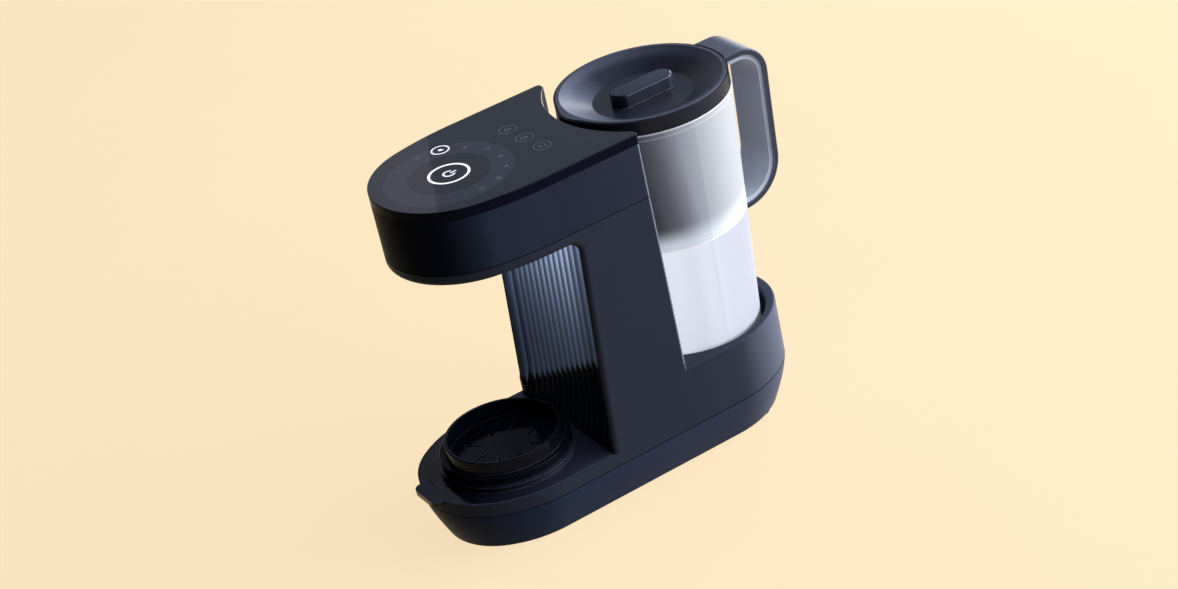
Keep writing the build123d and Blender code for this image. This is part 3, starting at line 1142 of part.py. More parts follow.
def thermostats():
    """Two cut-outs clipped on the boiler's inner side."""
    x = BOILER_X - BOILER_RADIUS
    heights = [BOILER_Z + rise for rise in THERMOSTAT_RISE]
    return [bar(THERMOSTAT_RADIUS, (x - THERMOSTAT_LENGTH, WORKS_Y, z), (x - SLIP, WORKS_Y, z))
            for z in heights]


def power_board():
    plan = fillet(Rectangle(*POWER_BOARD_SIZE).vertices(), BOARD_POST_RADIUS)
    return slab(Pos(0, POWER_BOARD_Y) * plan, POWER_BOARD_Z, POWER_BOARD_Z + BOARD)


def power_components():
    """Transformer, relay, regulator, capacitor and heat sink, placed from the board's centre."""
    low = POWER_BOARD_Z + BOARD
    solids = []
    for size, place in ((TRANSFORMER, TRANSFORMER_PLACE), (RELAY, RELAY_PLACE), (REGULATOR, REGULATOR_PLACE)):
        solids.append(Pos(*place, low + size[2] / 2) * Box(*size))
    solids.append(rod(CAPACITOR_RADIUS, low, low + CAPACITOR_HEIGHT, *CAPACITOR_PLACE))
    left = -POWER_BOARD_SIZE[0] / 2
    middle = low + SINK[2] / 2
    sink = Pos(left + SINK[0] / 2, SINK_Y, middle) * Box(*SINK)
    for fin in range(FIN_COUNT):
        y = SINK_Y + (fin - (FIN_COUNT - 1) / 2) * FIN_PITCH
        sink += Pos(left + SINK[0] + FIN[0] / 2 - SLIP, y, middle) * Box(FIN[0], FIN[1], SINK[2])
    solids.append(sink)
    return [Pos(0, POWER_BOARD_Y) * solid for solid in solids]


# ---------------------------------------------------------------- build and export
def hoses():
    """Each hose runs between the shoulders of two spigots."""
    probe_z = DOCK_FLOOR_Z - WALL - PROBE_FLANGE_THICKNESS - LIFT
    pump_back = WORKS_Y + PUMP_BLOCK[1] / 2 + LIFT
    side = DIVERTER_BLOCK[0] / 2 + LIFT
    nozzle = NOZZLE_RADIUS + LIFT
    meter = METER_RADIUS + LIFT
    return {
        "hose_inlet": hose((0, JUG_Y, probe_z), (0, JUG_Y, LINE_Z), (0, METER_Y + meter, LINE_Z)),
        "hose_suction": hose((0, METER_Y - meter, LINE_Z), (0, pump_back, LINE_Z)),
        "hose_riser": hose((0, WORKS_Y, PUMP_TOP_Z + LIFT), (0, WORKS_Y, DIVERTER_Z - LIFT)),
        "hose_boiler": hose((side, WORKS_Y, DIVERTER_LINE_Z), (BOILER_X, WORKS_Y, DIVERTER_LINE_Z),
                            (BOILER_X, WORKS_Y, BOILER_Z - LIFT)),
        "hose_hot": hose((BOILER_X, WORKS_Y, BOILER_TOP_Z + LIFT), (BOILER_X, WORKS_Y, HEAD_LINE_Z),
                         (BOILER_X, STAND_Y, HEAD_LINE_Z), (nozzle, STAND_Y, HEAD_LINE_Z)),
        "hose_cold": hose((-side, WORKS_Y, DIVERTER_LINE_Z), (-BOILER_X, WORKS_Y, DIVERTER_LINE_Z),
                          (-BOILER_X, WORKS_Y, HEAD_LINE_Z), (-BOILER_X, STAND_Y, HEAD_LINE_Z),
                          (-nozzle, STAND_Y, HEAD_LINE_Z)),
    }


def build():
    pieces.update(
        base_pan=base_pan(), rubber_feet=rubber_feet(), base_screws=base_screws(), mains_inlet=mains_inlet(),
        main_housing=main_housing(), head_housing=head_housing(), control_panel=control_panel(),
        power_ring_light=light_guide(*POWER_RING), dose_ring_light=light_guide(*DOSE_RING),
        touch_board=touch_board(), board_screws=board_screws(), speaker=speaker(),
        night_light_lens=night_light_lens(), night_light_board=night_light_board(),
        nozzle_body=nozzle_body(), nozzle_ring=nozzle_ring(), nozzle_outlet=nozzle_outlet(),
        ribbed_panel=ribbed_panel(), drip_tray=drip_tray(), bottle_stand=bottle_stand(),
        jug_body=jug_body(), jug_collar=jug_collar(), jug_handle=jug_handle(),
        jug_handle_liner=jug_handle_liner(), valve_seat=valve_seat(), valve_cap=valve_cap(),
        valve_plunger=valve_plunger(), valve_seal=valve_seal(), valve_spring=valve_spring(),
        filter_cartridge=filter_cartridge(), dock_probe=dock_probe(), dock_seal=dock_seal(),
        lid_dish=lid_dish(), lid_seal=lid_seal(), lid_grip=lid_grip(),
        pump_head=pump_head(), pump_motor=pump_motor(), pump_rotor=pump_rotor(), pump_mounts=pump_mounts(),
        flow_meter=flow_meter(), flow_meter_cap=flow_meter_cap(), flow_rotor=flow_rotor(),
        diverter_block=diverter_block(), diverter_coil=diverter_coil(), diverter_core=diverter_core(),
        boiler=boiler(), boiler_clamps=boiler_clamps(), thermostats=thermostats(),
        power_board=power_board(), power_components=power_components(), **hoses(),
    )


def export():
    os.makedirs("parts", exist_ok=True)
    shift = Pos(0, -FOOTPRINT_CENTRE_Y, 0)
    for name, shape in pieces.items():
        solids = shape if isinstance(shape, list) else shape.solids()
        export_step(shift * Compound(children=list(solids)), f"parts/{name}.step")
        print(f"{name:20} {len(solids)} solid(s)")


build()
export()
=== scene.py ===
# %% [markdown]
# # A baby formula maker, dressed in Blender
# The machine's shapes come from its CAD model: a rounded body with a touch panel, a ribbed
# wall, a drip tray with a round stand and a lift-out frosted jug. This lesson gives each
# piece its finish, draws what is printed on the glass, and sets up the studio. We load the
# model first, so that every later cell can ask where a piece is. Lengths are in metres.

import bmesh
import bpy
from math import cos, pi, radians, sin
from mathutils import Matrix, Vector


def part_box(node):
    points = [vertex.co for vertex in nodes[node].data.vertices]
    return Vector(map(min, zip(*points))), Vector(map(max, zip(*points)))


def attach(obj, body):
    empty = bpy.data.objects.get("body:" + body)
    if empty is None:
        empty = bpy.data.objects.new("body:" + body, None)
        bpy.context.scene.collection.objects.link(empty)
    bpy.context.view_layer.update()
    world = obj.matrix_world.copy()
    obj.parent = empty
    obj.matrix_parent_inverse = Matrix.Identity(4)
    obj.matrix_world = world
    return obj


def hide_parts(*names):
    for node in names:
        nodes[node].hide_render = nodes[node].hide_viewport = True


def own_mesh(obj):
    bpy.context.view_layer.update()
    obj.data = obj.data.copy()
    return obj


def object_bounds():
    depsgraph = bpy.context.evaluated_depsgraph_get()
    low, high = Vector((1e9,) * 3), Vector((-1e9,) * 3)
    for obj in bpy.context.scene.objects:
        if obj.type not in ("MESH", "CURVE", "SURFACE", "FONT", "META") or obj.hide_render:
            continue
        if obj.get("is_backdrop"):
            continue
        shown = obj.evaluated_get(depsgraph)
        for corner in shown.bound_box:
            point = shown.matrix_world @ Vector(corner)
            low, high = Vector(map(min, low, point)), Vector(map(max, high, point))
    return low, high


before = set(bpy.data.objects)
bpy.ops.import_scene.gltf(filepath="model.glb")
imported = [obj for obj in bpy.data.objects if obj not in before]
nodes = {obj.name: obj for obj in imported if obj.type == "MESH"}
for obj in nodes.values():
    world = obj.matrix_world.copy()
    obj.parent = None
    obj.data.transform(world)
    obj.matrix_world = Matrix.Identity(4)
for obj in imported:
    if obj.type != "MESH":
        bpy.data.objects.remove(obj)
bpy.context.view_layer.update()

# %% [markdown]
# ## The camera
# The product was shot from its right front, from above, with a long lens, and the camera was
# turned about its own axis so that the machine stands at a slant in the frame. We build the
# camera's axes by hand: one axis points back from the machine to the lens, the other two are
# turned by the roll. A picture 1178 pixels wide and a focal length in pixels give the lens.

# %% Camera
PICTURE_WIDTH = 1178
FOCAL_PIXELS = 2623.24
AZIMUTH, ELEVATION, ROLL = radians(63.376), radians(28.75), radians(-12.846)
TARGET = Vector((0.0, -0.003973, 0.165317))
DISTANCE = 2.3175

back = Vector((sin(AZIMUTH) * cos(ELEVATION), -cos(AZIMUTH) * cos(ELEVATION), sin(ELEVATION)))
level = Vector((cos(AZIMUTH), sin(AZIMUTH), 0.0))
upright = back.cross(level)
across = cos(ROLL) * level + sin(ROLL) * upright
upward = -sin(ROLL) * level + cos(ROLL) * upright

camera = bpy.data.objects.new("camera", bpy.data.cameras.new("camera"))
bpy.context.scene.collection.objects.link(camera)
camera.data.lens = FOCAL_PIXELS / PICTURE_WIDTH * camera.data.sensor_width
eye = TARGET + back * DISTANCE
camera.matrix_world = Matrix.Translation(eye) @ Matrix((across, upward, back)).transposed().to_4x4()
camera.data.clip_start, camera.data.clip_end = 0.05, 50.0
bpy.context.scene.camera = camera
bpy.context.scene.view_settings.view_transform = "Standard"
print("lens", round(camera.data.lens, 2), "mm")

# %% [markdown]
# ## Helpers for materials
# A colour picker shows sRGB hex values, while the shader works with linear light, so one
# function turns one into the other. A second one adds a node, sets its values and joins its
# inputs, which keeps each material below to a few readable lines.

# %% Colour and node helpers
def linear(hex_colour):
    """RGBA in linear light from an sRGB hex value such as "1d2130"."""
    channels = [int(hex_colour[i:i + 2], 16) / 255 for i in (0, 2, 4)]
    return tuple(c / 12.92 if c <= 0.04045 else ((c + 0.055) / 1.055) ** 2.4 for c in channels) + (1.0,)


def add(material, kind, settings=None, **inputs):
    """Add a node; an input is a value, or the output socket that feeds it."""
    tree = material.node_tree
    node = tree.nodes.new("ShaderNode" + kind)
    for name, value in (settings or {}).items():
        setattr(node, name, value)
    for name, value in inputs.items():
        key = int(name[2:]) if name[:2] == "in" and name[2:].isdigit() else name.replace("_", " ")
        if isinstance(value, bpy.types.NodeSocket):
            tree.links.new(value, node.inputs[key])
        else:
            node.inputs[key].default_value = value
    return node


def feed(material, socket, value):
    """Join an output to the input that it feeds."""
    material.node_tree.links.new(value, socket)


def cleared(owner):
    """A material or a world with an empty node tree."""
    owner.use_nodes = True
    owner.node_tree.nodes.clear()
    return owner


def new_material(name, **surface):
    """A material with one surface shader, and its position in the piece's own space."""
    material = cleared(bpy.data.materials.new(name))
    shader = add(material, "BsdfPrincipled", None, **surface)
    add(material, "OutputMaterial", None, Surface=shader.outputs[0])
    place = add(material, "TexCoord").outputs["Object"]
    return material, shader, place


print("node helpers ready")

# %% Values and colours
def spread(material, value, low, high, start=0.0, end=1.0, smooth=False):
    """Turn values from low to high into start to end, and hold them there."""
    settings = {"interpolation_type": "SMOOTHSTEP"} if smooth else None
    limits = {"From_Min": low, "From_Max": high, "To_Min": start, "To_Max": end}
    return add(material, "MapRange", settings, Value=value, **limits).outputs[0]


def maths(material, operation, a, b=0.0):
    return add(material, "Math", {"operation": operation}, in0=a, in1=b).outputs[0]


def line_at(material, value, middle, inner, outer, strength=1.0):
    """A thin line where a value is near its middle; it fades from inner to outer."""
    apart = maths(material, "ABSOLUTE", maths(material, "SUBTRACT", value, middle))
    return spread(material, apart, inner, outer, strength, 0.0)


def component(material, vector, axis):
    """One part of a vector: "X", "Y" or "Z"."""
    return add(material, "SeparateXYZ", None, Vector=vector).outputs[axis]


def own_normal(material):
    return add(material, "NewGeometry").outputs["Normal"]


def agreement(material, first, second):
    """1 where two directions are the same, 0 where they are square to each other."""
    return add(material, "VectorMath", {"operation": "DOT_PRODUCT"}, in0=first, in1=second).outputs["Value"]


def ramp(material, value, *stops):
    """Colour ramp from (position, hex colour) pairs."""
    node = add(material, "ValToRGB", None, Fac=value)
    while len(node.color_ramp.elements) < len(stops):
        node.color_ramp.elements.new(0.5)
    for element, (position, colour) in zip(node.color_ramp.elements, stops):
        element.position, element.color = position, linear(colour)
    return node.outputs["Color"]


def blend(material, share, first, second):
    """Mix two colours; each is a socket or a hex value."""
    node = add(material, "Mix", {"data_type": "RGBA"}, in0=share)
    for key, colour in ((6, first), (7, second)):
        if isinstance(colour, str):
            node.inputs[key].default_value = linear(colour)
        else:
            feed(material, node.inputs[key], colour)
    return node.outputs[2]


print("value and colour helpers ready")

# %% Noise, bump and dressing
def noise(material, vector, scale, detail=2.0, **more):
    """Cloudy values round one half; scale is in features per metre."""
    return add(material, "TexNoise", None, Vector=vector, Scale=scale, Detail=detail, **more).outputs[0]


def streaks(material, place, scale, detail, turn=0.0):
    """Noise that is drawn out along one axis, as a brush or a cloth leaves it."""
    drawn = add(material, "Mapping", None, Vector=place, Rotation=(0, 0, turn), Scale=scale).outputs[0]
    return noise(material, drawn, 1.0, detail)


def rough_up(material, shader, place, scale, depth_mm, strength=0.3, detail=2.0):
    """Bump from noise."""
    height = noise(material, place, scale, detail)
    bump = add(material, "Bump", None, Height=height, Distance=depth_mm / 1000.0, Strength=strength)
    feed(material, shader.inputs["Normal"], bump.outputs[0])


def dress(material, *names):
    """Give a finish to CAD nodes, whose shapes stay as they are."""
    for name in names:
        nodes[name].data.materials.clear()
        nodes[name].data.materials.append(material)
    print(material.name, "on", ", ".join(names))


def middle_of(name):
    """The middle of a CAD node's box."""
    low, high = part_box(name)
    return (low + high) / 2


print("noise helpers ready, dial at", [round(v, 4) for v in middle_of("power_ring_light")])

# %% [markdown]
# ## Edges that catch the light
# On a dark moulding the eye reads the form from thin pale lines along its edges, where they
# catch the light; here those lines are painted highlights. The Bevel node rounds the shading
# normal within a small radius; where it differs from the true normal there is an edge, and that
# difference becomes a mask.

# %% Edge mask
# The pale edge lines that this mask lets into a colour are painted highlights.
NO_EDGE, FULL_EDGE = 0.985, 0.86


def edge_mask(material, radius_mm):
    """How much of an edge each spot is, from none to all."""
    rounded = add(material, "Bevel", {"samples": 4}, Radius=radius_mm / 1000.0).outputs[0]
    return spread(material, agreement(material, rounded, own_normal(material)), NO_EDGE, FULL_EDGE)


print("edge mask ready")

# %% [markdown]
# ## Moulded ABS for the body
# The body, the pan and the head are injection moulded ABS in a dark navy charcoal. The tool
# was spark eroded to a fine satin grain, about a third of a millimetre from pit to pit, so the
# shine is broad and soft. A second, much larger pattern varies colour and shine by a few
# percent, as flow in the mould does, and keeps large walls from looking like a flat fill.
#
# Three more things shape the colour. A wall that turns to the rear right, or rounds a corner
# there, is painted paler: a painted highlight for the lamps' light that the grain throws back at a
# low angle. Painted shade runs along the machine, darkest at the head's nose and paler towards the
# rear. And a parting line between two mouldings is dark, since no light gets out of it.

# %% Shading that follows a wall
CORNER_WAY = (0.71, 0.71, 0.0)
SEAM_INNER, SEAM_OUTER = 0.0003, 0.0006
SEAM_TONE = "0b0d14"


def turned_to(material, way, low, high):
    """How far a wall turns towards a direction, from none at low to all at high."""
    return spread(material, agreement(material, own_normal(material), way), low, high)


def corner_highlight(material, place, low_z, low_y):
    """Painted highlight where a wall rounds towards the rear right, above and behind a place."""
    behind = maths(material, "MULTIPLY",
                   maths(material, "GREATER_THAN", component(material, place, "Z"), low_z),
                   maths(material, "GREATER_THAN", component(material, place, "Y"), low_y))
    return maths(material, "MULTIPLY", behind, turned_to(material, CORNER_WAY, 0.80, 0.90))


def colours_along(material, place, axis, low, high, *stops):
    """Colours that follow one another along an axis of the piece."""
    return ramp(material, spread(material, component(material, place, axis), low, high), *stops)


def seam_shade(material, place, colour, *heights):
    """The dark line that stays in a parting line between two mouldings."""
    up = component(material, place, "Z")
    for height in heights:
        colour = blend(material, line_at(material, up, height, SEAM_INNER, SEAM_OUTER), colour, SEAM_TONE)
    return colour


print("seam lines", round(SEAM_OUTER * 2000, 1), "mm wide")

# %% Moulded plastic
RUN_SHARE = 0.75


def moulded(name, dark, light, shine, grain_mm=0.35, depth_mm=0.02, edge=None, edge_mm=0.7,
            corner=None, turn=None, seams=(), run=None, **surface):
    """Moulded plastic: fine grain, slow drift in colour and shine, and paler edges that are painted highlights.

    corner is (height, depth) behind which only corners are pale, a painted highlight; turn is
    (direction, low, high, colour), a side painted lighter or darker as painted light and shade;
    and run is (axis, low, high, stop, stop, ...), painted light and shade along an axis.
    """
    material, shader, place = new_material(name, **surface)
    drift = noise(material, place, 14.0, 3.0, Roughness=0.55)
    colour = ramp(material, drift, (0.3, dark), (0.7, light))
    # run and turn paint light and shade into the colour; corner and edge paint highlights.
    if run:
        colour = blend(material, RUN_SHARE, colour, colours_along(material, place, *run))
    if turn:
        way, low, high, tone = turn
        colour = blend(material, turned_to(material, way, low, high), colour, tone)
    colour = seam_shade(material, place, colour, *seams)
    if corner:
        colour = blend(material, corner_highlight(material, place, *corner), colour, edge)
    elif edge:
        colour = blend(material, edge_mask(material, edge_mm), colour, edge)
    feed(material, shader.inputs["Base Color"], colour)
    feed(material, shader.inputs["Roughness"], spread(material, drift, 0.3, 0.7, *shine))
    rough_up(material, shader, place, 500.0 / grain_mm, depth_mm)
    return material


print("moulded plastic ready")

# %% Satin moulded ABS
REAR_RIGHT = (0.45, 0.89, 0.0)
BASE_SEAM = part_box("base_pan")[1].z
HEAD_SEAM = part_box("head_housing")[0].z
CORNER_HIGHLIGHT = "6f7582"
CORNER_FROM = 0.106

# Painted light: walls facing the rear right are painted paler, the rear-right corner above the base carries a painted
# highlight, and the run paints shade towards the front.
abs_body = moulded("satin_moulded_abs_navy", "272d3c", "2c3240", (0.42, 0.50), edge=CORNER_HIGHLIGHT,
                   corner=(CORNER_FROM, 0.0), turn=(REAR_RIGHT, 0.55, 1.0, "5c6272"),
                   seams=(BASE_SEAM, HEAD_SEAM),
                   run=("Y", 0.02, 0.17, (0.0, "2b303e"), (1.0, "373c4a")),
                   Specular_IOR_Level=0.06)
dress(abs_body, "main_housing")

head_low, head_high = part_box("head_housing")
# Painted light: the run paints the nose nearly black as painted shade, and corners that round to the rear right carry a
# painted highlight.
abs_head = moulded("satin_moulded_abs_head", "21283a", "262d3f", (0.34, 0.42), edge=CORNER_HIGHLIGHT,
                   corner=(HEAD_SEAM, 0.0), seams=(HEAD_SEAM,),
                   run=("Y", head_low.y, head_high.y, (0.0, "05070f"), (0.12, "0a0d1a"),
                        (0.3, "30374a"), (0.6, "2a2d3d"), (1.0, "323745")),
                   Specular_IOR_Level=0.012)
dress(abs_head, "head_housing")

# Painted light: walls facing the rear right are painted paler, and the run paints shade towards the front.
abs_pan = moulded("satin_moulded_abs_pan", "2c3344", "313849", (0.40, 0.48),
                  turn=(REAR_RIGHT, 0.55, 1.0, "5a6070"), seams=(BASE_SEAM,),
                  run=("Y", -0.19, 0.17, (0.0, "1b2744"), (0.35, "2d3650"), (1.0, "40465a")),
                  Specular_IOR_Level=0.03)
dress(abs_pan, "base_pan")
print("seams at", round(BASE_SEAM, 4), round(HEAD_SEAM, 4), "head", round(head_low.y, 4), round(head_high.y, 4))

# %% [markdown]
# ## Dark acrylic for the touch panel
# The top is one piece of polished acrylic, printed from below. It is almost black, mirrors the
# studio sharply, and a slightly lighter ring is printed round the dial so that a finger finds
# the doses. The ring is drawn by distance from the dial's centre. The sawn edge is only
# lightly polished, so its side stays darker than its top.

# %% Polished acrylic panel
RING_INNER, RING_OUTER, RING_BLUR = 0.0359, 0.0563, 0.0003
dial = middle_of("power_ring_light")
panel_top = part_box("control_panel")[1].z
acrylic, shader, place = new_material("polished_black_acrylic", IOR=1.49, Specular_IOR_Level=0.02,
                                      Coat_IOR=1.49, Coat_Roughness=0.03, Roughness=0.3)
apart = add(acrylic, "VectorMath", {"operation": "DISTANCE"}, in0=place, in1=tuple(dial)).outputs["Value"]
inner = spread(acrylic, apart, RING_INNER - RING_BLUR, RING_INNER + RING_BLUR)
outer = spread(acrylic, apart, RING_OUTER + RING_BLUR, RING_OUTER - RING_BLUR)
printed = blend(acrylic, maths(acrylic, "MULTIPLY", inner, outer), "0a0c12", "292c36")
flat_top = spread(acrylic, component(acrylic, own_normal(acrylic), "Z"), 0.3, 0.8)
printed = blend(acrylic, flat_top, "0c0f1e", printed)
feed(acrylic, shader.inputs["Base Color"], printed)
smear = noise(acrylic, place, 22.0, 4.0)
polish = maths(acrylic, "MULTIPLY", flat_top, spread(acrylic, smear, 0.3, 0.7, 0.95, 1.0))
feed(acrylic, shader.inputs["Coat Weight"], polish)
rough_up(acrylic, shader, place, 35.0, 0.03, strength=0.15, detail=1.0)
dress(acrylic, "control_panel")

# %% [markdown]
# ## Gloss ABS for the drip tray and stand
# These lift out for washing, so they are moulded in polished black ABS. Washing leaves faint
# hairline scuffs, here a stretched noise that only touches the shine.

# %% Polished ABS
BLACK, BLACK_LIGHT = "0b0d17", "10131e"


def polished(name, rear, **surface):
    """Polished black plastic, painted a little paler towards the rear as painted light, with painted highlights on its
    edges and faint scuffs.
    """
    material, shader, place = new_material(name, IOR=1.5, **surface)
    black = ramp(material, noise(material, place, 16.0, 3.0), (0.3, BLACK), (0.7, BLACK_LIGHT))
    # to_rear paints the plastic paler towards the rear: painted light.
    to_rear = colours_along(material, place, "Y", -0.18, -0.06, (0.0, BLACK), (1.0, rear))
    black = blend(material, 0.7, black, to_rear)
    # The pale edges are painted highlights.
    feed(material, shader.inputs["Base Color"], blend(material, edge_mask(material, 0.5), black, "7d8492"))
    scuff = streaks(material, place, (40.0, 900.0, 900.0), 2.0, turn=0.6)
    feed(material, shader.inputs["Roughness"], spread(material, scuff, 0.3, 0.7, 0.05, 0.16))
    rough_up(material, shader, place, 30.0, 0.05, strength=0.2, detail=1.0)
    return material


dress(polished("polished_moulded_abs_tray", "3c3d52", Specular_IOR_Level=0.15), "drip_tray")
dress(polished("polished_moulded_abs_stand", BLACK_LIGHT, Specular_IOR_Level=0.05), "bottle_stand")

# %% [markdown]
# ## Helpers for new pieces
# A few shapes are finer than the CAD model holds. We draw them in bmesh, close them, and put
# them in the scene; each then rides on a body and takes the place of its CAD node.

# %% From a bmesh to an object
SHARP_ANGLE = radians(50)


def close(shape):
    """Fill what is open, turn all faces outward and shade them smooth."""
    bmesh.ops.holes_fill(shape, edges=[e for e in shape.edges if e.is_boundary])
    bmesh.ops.recalc_face_normals(shape, faces=shape.faces)
    for face in shape.faces:
        face.smooth = True
    print("open edges", sum(1 for e in shape.edges if not e.is_manifold))


def new_object(name, shape, material=None, sharp=False):
    """An object in the scene from a bmesh; sharp keeps its hard edges hard."""
    mesh = bpy.data.meshes.new(name)
    shape.to_mesh(mesh)
    shape.free()
    if sharp:
        mesh.set_sharp_from_angle(angle=SHARP_ANGLE)
    if material:
        mesh.materials.append(material)
    made = bpy.data.objects.new(name, mesh)
    bpy.context.scene.collection.objects.link(made)
    print(name, len(mesh.polygons), "faces")
    return made


print("piece helpers ready")

# %% [markdown]
# ## The fluted wall
# The wall above the tray is extruded in rounded flutes. It curls forward at both sides to
# meet the column's front edges, and bends forward at its foot. The CAD model holds it with
# plain vees; here each flute gets its half-round face. We draw one closed cross-section
# first. Each of its points also keeps a value, the glint, for a painted highlight: how much of
# the lamp's light its part of the flute throws towards the front right.

# %% Cross-section of the flutes
FLUTE = 0.0096
DEPTH = 0.0034
BACKING = 0.0024
CURL_WIDTH, CURL_REACH = 0.018, 0.0088
# GLINT is a painted highlight across one flute, from groove to groove.
GLINT = (0.10, 0.12, 0.15, 0.18, 0.22, 0.30, 0.42, 0.66, 1.0, 0.35)
PER_FLUTE = len(GLINT)
FINE = 600
low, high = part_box("ribbed_panel")


def curl(x):
    """How far the wall comes forward beside its flat middle."""
    return CURL_REACH * max(0.0, abs(x) / CURL_WIDTH - high.x / CURL_WIDTH + 1.0) ** 2


base = []
for k in range(FINE + 1):
    x = high.x * (2 * k / FINE - 1.0)
    base.append(Vector((x, curl(x))))
walked = [0.0]
for a, b in zip(base, base[1:]):
    walked.append(walked[-1] + (b - a).length)
count = round(walked[-1] / FLUTE)

outline = [(Vector((-high.x, -BACKING)), GLINT[0])]
for step in range(count * PER_FLUTE + 1):
    flute, part = divmod(step, PER_FLUTE)
    phase = (1 - cos(pi * part / PER_FLUTE)) / 2
    at = min(range(FINE), key=lambda k: abs(walked[k] - (flute + phase) * walked[-1] / count))
    slope = (base[at + 1] - base[at]).normalized()
    rise = sin(pi * part / PER_FLUTE)
    place = base[at] if step < count * PER_FLUTE else base[FINE]
    outline.append((place + Vector((-slope.y, slope.x)) * DEPTH * rise, GLINT[part]))
outline.append((Vector((high.x, -BACKING)), GLINT[0]))
print(count, "flutes,", len(outline), "points")

# %% [markdown]
# Now we push the section down the leaning wall and spin it round the bend. Only then is it
# trimmed level with the head above and the tray's well below, and each cut is closed.

# %% Flutes
TOP = Vector((0.0, -0.03154, 0.264))
BEND = Vector((0.0, -0.04200, 0.0925))
BEND_RADIUS, BEND_ANGLE, BEND_STEPS = 0.120, radians(34), 16
ABOVE_TOP = 0.001
down = (BEND - TOP).normalized()
out = Vector((0.0, down.z, -down.y))
start = TOP - down * ABOVE_TOP

flutes = bmesh.new()
glint = flutes.verts.layers.float.new("glint")
ring = []
for point, light in outline:
    side = Vector((max(-high.x, min(high.x, point.x)), 0.0, 0.0))
    ring.append(flutes.verts.new(start + side + out * point.y))
    ring[-1][glint] = light
edges = [flutes.edges.new((a, b)) for a, b in zip(ring, ring[1:] + ring[:1])]
grown = bmesh.ops.extrude_edge_only(flutes, edges=edges)["geom"]
bmesh.ops.translate(flutes, vec=BEND - start, verts=[v for v in grown if isinstance(v, bmesh.types.BMVert)])
lower = [e for e in grown if isinstance(e, bmesh.types.BMEdge)
         and all((v.co - BEND).dot(down) > -1e-5 for v in e.verts)]
bmesh.ops.spin(flutes, geom=lower, cent=BEND + out * BEND_RADIUS, axis=(1, 0, 0), angle=-BEND_ANGLE,
               steps=BEND_STEPS)
for corner, side in ((high, (0, 0, 1)), (low, (0, 0, -1)), (low, (0, -1, 0))):
    bmesh.ops.bisect_plane(flutes, geom=flutes.verts[:] + flutes.edges[:] + flutes.faces[:],
                           plane_co=corner, plane_no=side, clear_outer=True)
    bmesh.ops.holes_fill(flutes, edges=[e for e in flutes.edges if e.is_boundary])
close(flutes)
wall = new_object("fluted_wall", flutes, sharp=True)
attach(wall, "housing")
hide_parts("ribbed_panel")

# %% [markdown]
# Diodes behind the head's edge send cool white light down the flutes; here that glow is painted
# into the wall's emission, partly the diodes' own light and partly painted highlight. It is
# strongest at the top's middle and weaker down the wall, and each flute is brightest on the side
# that throws the light forward, a painted highlight. Near the foot it stops along a slanting line,
# a painted reflection of the black tray.

# %% Edge-lit polycarbonate
ribs, shader, place = new_material("edge_lit_polycarbonate", IOR=1.5, Roughness=0.3, Specular_IOR_Level=0.01)
across_wall, height = component(ribs, place, "X"), component(ribs, place, "Z")
# How the glow falls and spreads across the wall is painted light in the emission.
fall = spread(ribs, maths(ribs, "POWER", spread(ribs, height, 0.10, 0.262), 1.8), 0.0, 1.0, 0.16, 1.0)
far_side = spread(ribs, across_wall, -0.080, 0.020, 0.80, 1.0, smooth=True)
near_side = spread(ribs, across_wall, 0.030, 0.062, 1.0, 0.45, smooth=True)
sharp = add(ribs, "Attribute", {"attribute_name": "glint"}).outputs["Fac"]
# foot and stop paint the slanting end of the glow: a painted reflection of the black tray.
foot = maths(ribs, "ADD", maths(ribs, "MULTIPLY", across_wall, 0.5), maths(ribs, "MULTIPLY", sharp, -0.010))
stop = spread(ribs, maths(ribs, "SUBTRACT", height, foot), 0.111, 0.116, 0.03, 1.0)
lit = maths(ribs, "MULTIPLY", fall, maths(ribs, "MULTIPLY", far_side, near_side))
lit = maths(ribs, "MULTIPLY", maths(ribs, "MULTIPLY", lit, sharp), stop)
glow = ramp(ribs, lit, (0.0, "000000"), (0.25, "3c475c"), (1.0, "b4c8ea"))
feed(ribs, shader.inputs["Emission Color"], glow)
shader.inputs["Emission Strength"].default_value = 1.35
fleck = noise(ribs, place, 60.0, 3.0)
feed(ribs, shader.inputs["Base Color"], ramp(ribs, fleck, (0.3, "0b0c15"), (0.7, "11131d")))
wall.data.materials.append(ribs)
dress(ribs, "ribbed_panel")

# %% [markdown]
# ## Frosted jug
# The jug is polycarbonate, frosted by a fine texture on the tool, so it lets light through but
# blurs what is behind it. Above the water the grey of the dark column near it is painted in as
# painted shade, which clears to white away from it. The water itself scatters the light, so the
# wall in front of it is painted milk white; its surface is a crisp painted highlight line at the
# near wall, and the far side of that surface is painted as a soft pale band just above. Faint
# upright streaks come from the drawn tool, and the mouth has a painted highlight as a pale rim,
# with a fainter painted highlight line for a step below it. The water passes light on, which a
# little glow stands for: painted light, strongest on the side near the column.

# %% Frosted polycarbonate
WATER = 0.2030
MOUTH_STEP = 0.0055
RIM_HIGHLIGHT = "e9edf7"
low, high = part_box("jug_body")
frosted, shader, place = new_material("frosted_polycarbonate", IOR=1.45, Specular_IOR_Level=0.35)
up = component(frosted, place, "Z")
